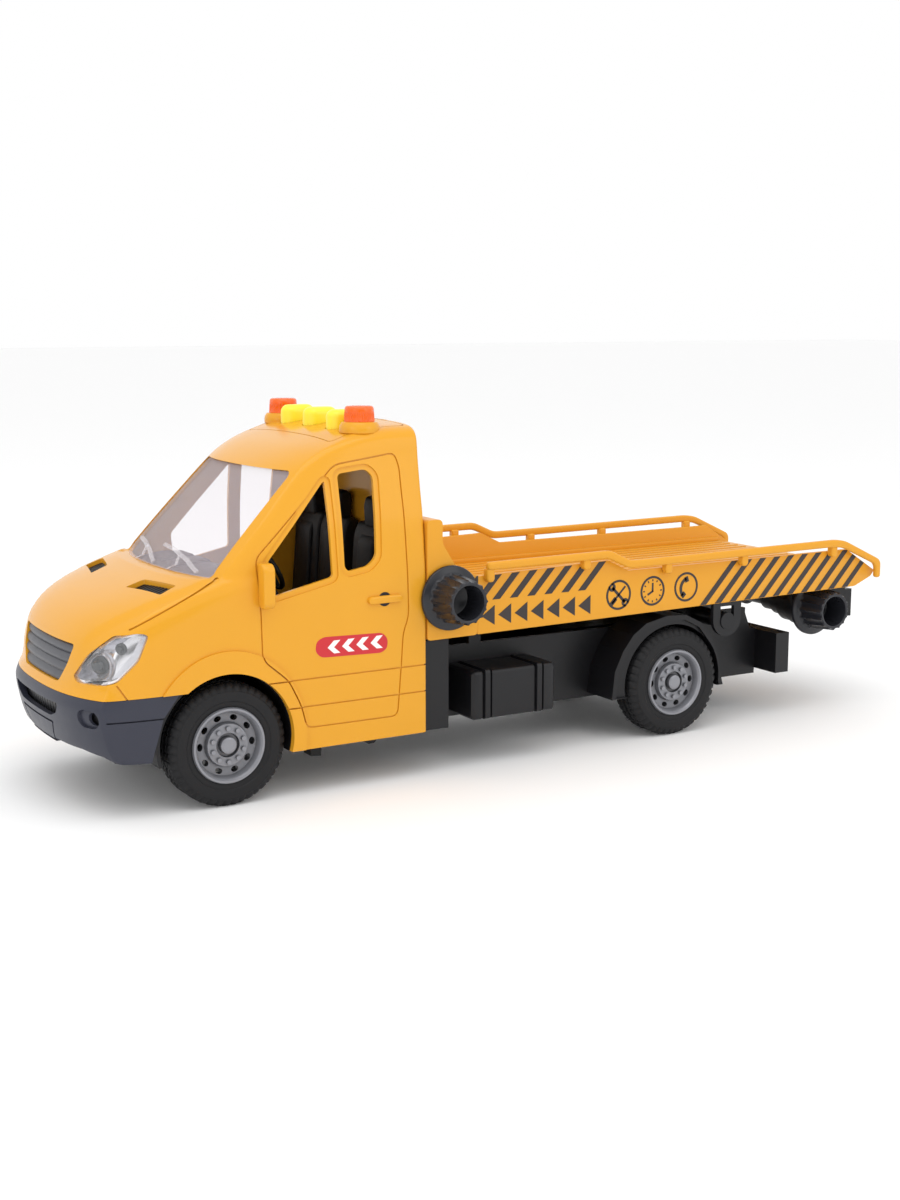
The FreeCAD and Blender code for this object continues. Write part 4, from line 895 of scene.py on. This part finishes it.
def make_intake():
    """The black bars behind the bumper's slot, and the floors of the fog lamp recesses."""
    bars = skin(3.2, 4.6, "intake_back")
    within(bars, from_front(grown(BUMPER_SLOT, 2), 180, 220))
    gaps = [upright(y, y + 0.5, 30, 50) for y in np.arange(-28, 28, 3)]
    carve(bars, [from_front(gap, 180, 220) for gap in gaps])
    parts = [bars]
    for side, _ in SIDES:
        low, high = sorted((side * 40, side * 52))
        floor = skin(3.5, 4.5, "fog_back", spacing=2.6)
        parts.append(within(floor, from_front(upright(low, high, 35, 45.5), 178, 205)))
    piece(joined("bumper_intake", parts), "truck", "vent_black")


# ---------- doors and cab inside

HANDLE = (70.9, 76.4)
MIRROR_FACE = [(53.3, 79.4), (53.3, 95.2), (57.4, 95.2), (59.4, 93.2), (59.4, 79.6), (58, 77.8),
               (54.6, 77.8)]


def make_handles():
    """Door handles: a bar over a flat black disc, painted shade for a round recess behind it."""
    bar = softened(prism(capsule(HANDLE, 1.55, 6.2), "y", 52.6, 54.9), 0.6)
    piece(joined("door_handles", both_sides(bar)), "truck", "cab_yellow")
    # A thin black disc on the skin: painted shade where the recess behind the handle would be.
    loop = [(0.05, 53.55), (2.9, 53.55), (2.9, 53.4), (0.05, 53.4)]
    dish = turned("dish", loop, (HANDLE[0], 0, HANDLE[1]), "y", 40)
    piece(joined("handle_pocket_shade", both_sides(dish)), "truck", "vent_black")


def make_mirrors():
    plate = softened(from_front(rounded(MIRROR_FACE, 1), 121.3, 126.2), 0.9, 3)
    piece(joined("mirror_plates", both_sides(plate)), "truck", "cab_yellow", "mirrors")


SEAT_BACK = [(56, 46), (55, 60), (54.6, 100), (56, 103), (60, 103), (62.4, 98),
             (65, 66), (67, 52), (66, 46)]
SEAT_BULGE = [(58, 56), (57, 98), (60.6, 100), (63.8, 96), (66.6, 66), (67, 58)]
SEAT_HEAD = [(55.4, 101), (55, 112.5), (57, 114.5), (60.6, 114), (61.6, 110), (61, 101)]
SEAT_CUSHION = [(58, 42), (58, 52), (86, 53), (91, 50), (91.5, 45), (88, 42)]
SEAT_PAD = [(62, 50), (62, 53.6), (85, 54.6), (90, 52), (88, 50)]
DASH_BODY = [(110, 62), (110, 72), (113, 81), (119, 87.6), (127, 88.4), (141, 86.4),
             (144, 83.5), (144, 62)]
DASH_HOOD = [(108.5, 80), (110, 86), (114, 90.4), (122, 90.6), (126, 88), (118, 80)]
DASH_CONSOLE = [(106, 60), (106, 70), (109.5, 80), (113, 82), (118, 80), (118, 60)]
DASH_VENT = [(121, 87.6), (122, 89.2), (136, 88), (137, 86.2)]


def moulding(name, rows, round_off):
    """Prisms across the truck with soft edges, from rows of (outline, corner radius, low, high)."""
    parts = [prism(rounded(outline, radius), "y", low, high) for outline, radius, low, high in rows]
    return joined(name, [softened(part, round_off, 3) for part in parts])


def seat(low, high):
    """One seat: a backrest and a cushion, each with a raised middle, and a headrest."""
    middle = (low + high) / 2
    rows = [(SEAT_BACK, 3, low, high), (SEAT_BULGE, 2, middle - 6.5, middle + 6.5),
            (SEAT_HEAD, 1.6, middle - 5.5, middle + 5.5), (SEAT_CUSHION, 2, low, high),
            (SEAT_PAD, 1.5, middle - 7, middle + 7)]
    return moulding("seat", rows, 1.3)


def make_inside():
    seats = [seat(-47, -23.5), seat(-22, 1.5), seat(10, 36)]
    piece(joined("seat_set", seats), "truck", "interior_black", "seats")
    rows = [(DASH_BODY, 2.5, -46, 46), (DASH_HOOD, 2, 10.5, 31.5), (DASH_CONSOLE, 1.5, -9, 8),
            (DASH_VENT, 0.5, -36, -23), (DASH_VENT, 0.5, -18, -5)]
    piece(moulding("dashboard_shape", rows, 1.4), "truck", "interior_black", "dashboard")


# ---------- wheels

AXLES = {"front": 139, "rear": -79.5}
WHEEL_OUTER = 52.6
WHEEL_RADIUS = 24.5
TYRE_WIDTH = 16
TREAD_BLOCKS = 44


def tread(angle, radius, along):
    """Blocks on both shoulders of a tyre, and grooves round its middle."""
    step = angle / (2 * math.pi) * TREAD_BLOCKS % 1
    away = abs(along + TYRE_WIDTH / 2)
    if radius < 22.2:
        return 0
    if away > 5.4:
        return 0.85 if step > 0.66 else 0.0
    return 0.45 if step > 0.8 else 0.0


# Half of a tyre's section: radius, and how far in from the tyre's outer face.
TYRE_HALF = [
    (15.2, 1), (16.6, 0.45), (17.4, 0.5), (17.8, 0.1), (20.4, 0), (21.4, 0.15), (21.7, 0.5), (22.5, 0.65),
    (23.3, 1.1), (24, 1.8), (24.4, 2.6), (24.5, 3), (24.5, 4.4), (23.5, 4.5), (23.5, 5.1), (24.5, 5.2),
    (24.5, 7), (23.5, 7.1), (23.5, 8),
]


def make_tyres():
    loop = [(r, -a) for r, a in TYRE_HALF] + [(r, a - TYRE_WIDTH) for r, a in TYRE_HALF[-2::-1]]
    for end, x in AXLES.items():
        for side, name in SIDES:
            def grip(angle, radius, along):
                return tread(angle, radius, side * along)
            tyre = turned(f"{end}_tread_{name}", [(r, side * a) for r, a in loop],
                          (x, side * WHEEL_OUTER, WHEEL_RADIUS), "y", TREAD_BLOCKS * 6, grip)
            piece(tyre, f"{end}_wheels", "tyre_black", f"{end}_tyre_{name}", angle=40)


# ---------- knobs

KNOB_FLUTES = 16


def knob_flutes(angle, radius, along):
    """Hollows round a knob's grip."""
    share = angle / (2 * math.pi) * KNOB_FLUTES % 1
    if not 8.6 < radius < 11.0 or along < 2.6:
        return 0
    return 0.75 * math.sin(math.pi * share) ** 0.8


# A flange, then a fluted grip that narrows outwards round a blind bore.
KNOB_LOOP = [
    (0.05, 0), (13, 0), (13.5, 0.4), (13.5, 1.6), (13.1, 2), (11, 2.05), (10.5, 2.3), (10.3, 3),
    (9.9, 7.5), (9.55, 12), (9.3, 15.4), (9, 15.9), (8.3, 16), (7.6, 16), (7.2, 15.7), (7.1, 14.9),
    (6.9, 3), (6.6, 2.8), (0.05, 2.8),
]


def make_knobs():
    for label, x, z, inner in (("winch", 41, 74.5, 54), ("spool", -173.5, 49, 38.8)):
        left = turned(f"{label}_knob", KNOB_LOOP, (x, inner, z), "y", KNOB_FLUTES * 14, knob_flutes)
        for (_, name), knob in zip(SIDES, both_sides(left)):
            piece(knob, label, "knob_charcoal", f"{label}_knob_{name}", angle=45)


# ---------- bed

PANEL = [
    (27, 57.48), (27, 82.1), (-31, 83.6), (-40, 83.8), (-51, 78.4), (-181, 78.4), (-199.5, 67),
    (-197.5, 64.2), (-187, 60),
]
HEADBOARD = [(27, 57.48), (51, 57.2), (51, 106), (50, 107), (45, 107), (43.8, 105.8),
             (43.8, 97), (37.8, 87.6), (27, 82.1)]
RAIL = [
    (24.3, 88.2), (-38.3, 88.7), (-49.8, 83.4), (-170, 84.2), (-176.5, 83.2), (-200, 72.4),
    (-200, 63.8), (-196.8, 63.8), (-196.8, 70.4), (-175.4, 79.9), (-169, 80.6), (-48.8, 79.9),
    (-37.5, 85.2), (24.3, 84.8),
]
# Each post's middle, top and foot.
RAIL_POSTS = [(22.4, 85.4, 79.6), (-26.5, 86, 81), (-71, 81, 75.8), (-114.9, 81, 75.8),
              (-170, 81.2, 75.8)]
HEADBOARD_HOLLOW = [(29, 55), (49, 55), (49, 105), (45.8, 105), (45.8, 96.4), (39.2, 86.2),
                    (29, 81)]
HEADBOARD_SLOT = [(20, 71), (32, 71), (32, 79), (20, 79)]
TAIL_LIP = [(-190, 67.5), (-190, 70), (-199.5, 66.4), (-199.5, 64.6)]
WINCH_AXIS = (41, 74.5)
RIB_PITCH = 6.4


def make_bed():
    """The deck with its side panels, tail lip, long ribs and edge strips."""
    panel = rounded(PANEL, 0.8)
    parts = [prism(panel, "y", 51.5, 53.5), prism(panel, "y", -53.5, -51.5),
             block((-190, 27), (-51.6, 51.6), (67.5, 70)), prism(TAIL_LIP, "y", -51.6, 51.6)]
    for step in range(-7, 8):
        y = step * RIB_PITCH
        parts.append(block((-186, 22), (y - 0.9, y + 0.9), (69.8, 70.45)))
    parts += [block((-188, 27), sorted((side * 49.6, side * 51.6)), (69.5, 72)) for side, _ in SIDES]
    deck = joined("bed_shape", [softened(part, 0.35) for part in parts])
    piece(deck, "bed", "bed_yellow", "bed_deck")


def make_headboard():
    board = prism(rounded(HEADBOARD, 1.6), "y", -53.5, 53.5)
    carve(board, [prism(HEADBOARD_HOLLOW, "y", -51.5, 51.5), prism(HEADBOARD_SLOT, "y", -16, 16),
                  prism(circle(WINCH_AXIS, 2.6), "y", -60, 60)])
    bevel(board, 0.5, segments=3)
    piece(board, "bed", "bed_yellow", "headboard")


def side_rail():
    """A rail, on posts that stand against the outside of the panel."""
    parts = [softened(prism(rounded(RAIL, 2.6), "y", 54.9, 57.6), 1, 4)]
    for x, high, low in RAIL_POSTS:
        leg = [(x - 1.9, high), (x + 1.9, high), (x + 1.9, low + 1.2), (x + 1, low), (x - 1, low),
               (x - 1.9, low + 1.2)]
        parts.append(softened(prism(leg, "y", 53.4, 57), 0.8, 3))
    return joined("rail", parts)


def make_rails():
    for (_, name), rail in zip(SIDES, both_sides(side_rail())):
        piece(rail, "bed", "bed_yellow", f"side_rail_{name}", angle=50)


BOX_ENDS = (-13, 29)
STRAPS = (21.7, -4.5)


def strap_depth(x):
    """How deep a toolbox's skin lies: straps stand proud, with a groove along both edges."""
    for strap in STRAPS:
        away = abs(x - strap)
        if away < 1.3:
            return -0.6
        if away < 2.3:
            return 0.75
    return 0


def toolbox():
    low, high = BOX_ENDS
    stations = {low, low + 0.7, low + 1.4, high - 1.4, high - 0.7, high}
    for strap in STRAPS:
        for step in (1.2, 1.5, 2.2, 2.5):
            stations |= {strap - step, strap + step}
    rows = []
    for x in sorted(stations):
        end = max(0, 1.2 - min(x - low, high - x) * 1.2)
        deep = strap_depth(x) + end
        outer, top = 52.9 - deep, 41.4 - deep
        face = [(31.8, 20.4 + end), (outer, 20.4 + end), (outer, top), (31.8, top)]
        rows.append([(x, y, z) for y, z in rounded(face, 1.6, 4)])
    return facing_out(solid_block("toolbox", rows))


def make_toolboxes():
    boxes = joined("toolbox_pair", both_sides(toolbox()))
    piece(boxes, "truck", "chassis_black", "toolboxes", angle=30)


# ---------- graphics

def flat_mark(outline, low=53.45, high=53.62):
    """A printed mark on the truck's left side."""
    return prism(outline, "y", low, high)


def ring_mark(centre):
    return carve(flat_mark(circle(centre, 6.7, 64)), [prism(circle(centre, 5.7, 64), "y", 53, 54)])


def spanner_mark(centre):
    """A spanner crossed with a screwdriver."""
    x, z = centre
    marks = []
    for turn in (1, -1):
        line = [(x - 3.6 * turn, z - 3.6), (x + 3.6 * turn, z + 3.6)]
        marks.append(flat_mark(strip(line, 1.3 if turn > 0 else 0.9)))
    for end in (1, -1):
        head = flat_mark(circle((x + end * 3.6, z + end * 3.6), 1.9, 24))
        jaw = strip([(x + end * 3.4, z + end * 3.4), (x + end * 6, z + end * 6)], 1.5)
        marks.append(carve(head, [prism(jaw, "y", 53, 54)]))
    marks.append(flat_mark(strip([(x + 1.4, z - 1.4), (x + 4, z - 4)], 2)))
    return marks


def clock_mark(centre):
    x, z = centre
    lines = [([(x, z - 0.4), (x, z + 3.6)], 0.9), ([(x - 0.4, z), (x + 2.7, z - 1.6)], 0.9)]
    for step in range(12):
        out = Vector((math.cos(math.pi * step / 6), math.sin(math.pi * step / 6)))
        lines.append(([Vector(centre) + out * 4.3, Vector(centre) + out * 5.2], 0.55))
    return [flat_mark(strip(line, width)) for line, width in lines]


def handset_mark(centre):
    """A telephone's handset: an arc with a pad at both ends."""
    x, z = centre
    arc = [(x - 1.6 + 4.6 * math.cos(a), z - 0.6 + 4.6 * math.sin(a)) for a in np.linspace(1.24, -0.76, 14)]
    marks = [flat_mark(strip(arc, 1.5))]
    for tip, angle in ((arc[0], 1.24), (arc[-1], -0.76)):
        out = (math.cos(angle), math.sin(angle))
        pad = [(tip[0] - out[0] * 1.6, tip[1] - out[1] * 1.6), (tip[0] + out[0] * 0.9, tip[1] + out[1] * 0.9)]
        marks.append(flat_mark(strip(pad, 2.1)))
    return marks


def clipped(marks, outline):
    """Marks that stop at the edge of a panel."""
    return [within(mark, prism(outline, "y", 50, 60)) for mark in marks]


def stripe(x, z, top, lean, width):
    """A slanting stripe from (x, z) up to a top; it leans backwards by lean times its height."""
    back = lean * (top - z)
    return flat_mark([(x, z), (x - back, top), (x - back - width, top), (x - width, z)])


def upper_stripe(x):
    return stripe(x, 71.7, 83.6, 0.924, 3.8)


BOARD_SIDE = [(26.8, 60), (49, 60), (49, 82.3), (26.8, 82.3)]
BADGE = [(70, 56.2), (72.6, 54.6), (99.6, 55.4), (102.2, 58), (101.6, 62), (98.6, 63.6), (72, 62.8),
         (69.6, 60)]


def make_bed_graphics():
    """Warning stripes, a row of arrowheads, and three round signs."""
    front = [upper_stripe(19.8 - step * 8.75) for step in range(-1, 6)]
    rear = [stripe(-88.5 - step * 8.6, 56, 78.5, 0.946, 3.6) for step in range(11)]
    marks = clipped(front + rear, grown(PANEL, -0.25))
    marks += clipped([upper_stripe(19.8 + step * 8.75) for step in (1, 2)], BOARD_SIDE)
    for step in range(7):
        x = 25.0 - step * 8.2
        marks.append(flat_mark([(x, 65), (x - 6.4, 69.3), (x - 6.4, 60.9)]))
    for centre, build in (((-45.7, 68), spanner_mark), ((-64.4, 68.2), clock_mark),
                          ((-83.3, 68.4), handset_mark)):
        marks.append(ring_mark(centre))
        marks += build(centre)
    left = joined("bed_graphics", marks)
    piece(joined("bed_graphics_pair", both_sides(left)), "bed", "bed_yellow", material=INK)


def make_door_badges():
    """A plain red badge with four white chevrons on each door."""
    badge = flat_mark(rounded(BADGE, 2), 53.45, 53.58)
    piece(joined("door_badges", both_sides(badge)), "truck", "cab_yellow", material=BADGE_RED)
    arrows = []
    for step in range(4):
        x = 96.8 - step * 6.4
        chevron = [(x, 59.1), (x - 2.8, 61.8), (x - 5.6, 61.8), (x - 2.8, 59.1), (x - 5.6, 56.6),
                   (x - 2.8, 56.6)]
        arrows.append(flat_mark(chevron, 53.5, 53.68))
    left = joined("badge_arrows", arrows)
    piece(joined("badge_marks", both_sides(left)), "truck", "cab_yellow", material=BADGE_WHITE)


# ---------- frame pieces that stay as they are

SOFT_EDGES = {
    "chassis": 0.35, "bed_subframe": 0.3, "bed_hangers": 0.3, "winch_frame": 0.35, "mudguards": 0.35,
    "wheel_housings": 0.25, "interior_floor": 0.3, "rear_spool": 0.25,
}


def finish_frame():
    """Gives every node of the frame its material, and some of them softer edges."""
    for row in frame["record"]["subparts"]:
        thing = frame["nodes"][row["node"]]
        thing.data.materials.clear()
        thing.data.materials.append(FINISHES[row["material_slot"]])
        if row["node"] in SOFT_EDGES:
            bevel(thing, SOFT_EDGES[row["node"]], 40)


for make in (make_cab, make_roof, make_beacons, make_windscreen, make_wipers, make_lamps, make_grille,
             make_vents, make_bumper, make_intake, make_handles, make_mirrors, make_inside, make_tyres,
             make_knobs, make_bed, make_headboard, make_rails, make_toolboxes, make_bed_graphics,
             make_door_badges, finish_frame):
    make()


# ---------- stage

# Where the camera stands, in millimetres, and the way it looks.
CAMERA_PLACE = Vector((380.5, 626.1, 189))
CAMERA_FORWARD = Vector((-0.5032, -0.8471, -0.1711))


def sheet(name, width, height):
    """A flat rectangle round the origin."""
    x, y = width / 2, height / 2
    return new_mesh(name, [(-x, -y, 0), (x, -y, 0), (x, y, 0), (-x, y, 0)], [(0, 1, 2, 3)])


def aimed(thing, place, target):
    """Puts a stage object in its place, in metres, and turns it to its target."""
    thing.location = place
    thing.rotation_euler = (Vector(target) - Vector(place)).to_track_quat("-Z", "Y").to_euler()


def make_floor():
    floor = sheet("floor", 18000, 18000)
    floor.data.materials.append(moulded("floor_paper", "FBFBFB", 0.9, 0.004))


def area_lamp(name, place, target, size, power):
    """A soft lamp of a size in metres and a power in watts."""
    light = bpy.data.lights.new(name, "AREA")
    light.shape = "RECTANGLE"
    light.size, light.size_y = size
    light.energy = power
    aimed(placed(name, light), place, target)


def dark_card(name, place, target, size):
    """A dark card that only reflections see, so that gloss and chrome have something to show."""
    card = sheet(name, *size)
    card.data.materials.append(moulded(name, "141414", 0.9, 0.02))
    card.visible_camera = False
    card.visible_diffuse = False
    card.visible_shadow = False
    card.visible_transmission = False
    aimed(card, place, target)


def make_camera():
    camera = bpy.data.cameras.new("camera")
    camera.lens = 49.22
    camera.sensor_width = 36
    camera.clip_start = 0.01
    camera.clip_end = 50
    eye = placed("camera", camera)
    eye.location = CAMERA_PLACE * MM
    eye.rotation_euler = CAMERA_FORWARD.to_track_quat("-Z", "Y").to_euler()
    bpy.context.scene.camera = eye


def make_studio():
    """Soft lamps, dark cards and a pale floor under a white sky."""
    make_floor()
    world = bpy.data.worlds.new("studio")
    bpy.context.scene.world = world
    world.use_nodes = True
    back = world.node_tree.nodes["Background"]
    back.inputs["Color"].default_value = (1, 1, 1, 1)
    back.inputs["Strength"].default_value = 1.0
    area_lamp("top_light", (0.25, 0.35, 1.1), (0, 0, 0.05), (1, 0.7), 3.4)
    area_lamp("left_light", (-0.6, 1.2, 0.6), (0, 0, 0.06), (0.6, 0.8), 1.6)
    area_lamp("front_light", (1.3, 0.5, 0.5), (0.1, 0, 0.06), (0.5, 0.7), 1.2)
    dark_card("far_card", (0.5, 2.2, 0.25), (0.1, 0, 0.1), (2200, 500))
    dark_card("nose_card", (2.2, 0.3, 0.15), (0.1, 0, 0.1), (1600, 350))
    make_camera()
    bpy.context.scene.view_settings.view_transform = "Standard"


make_studio()
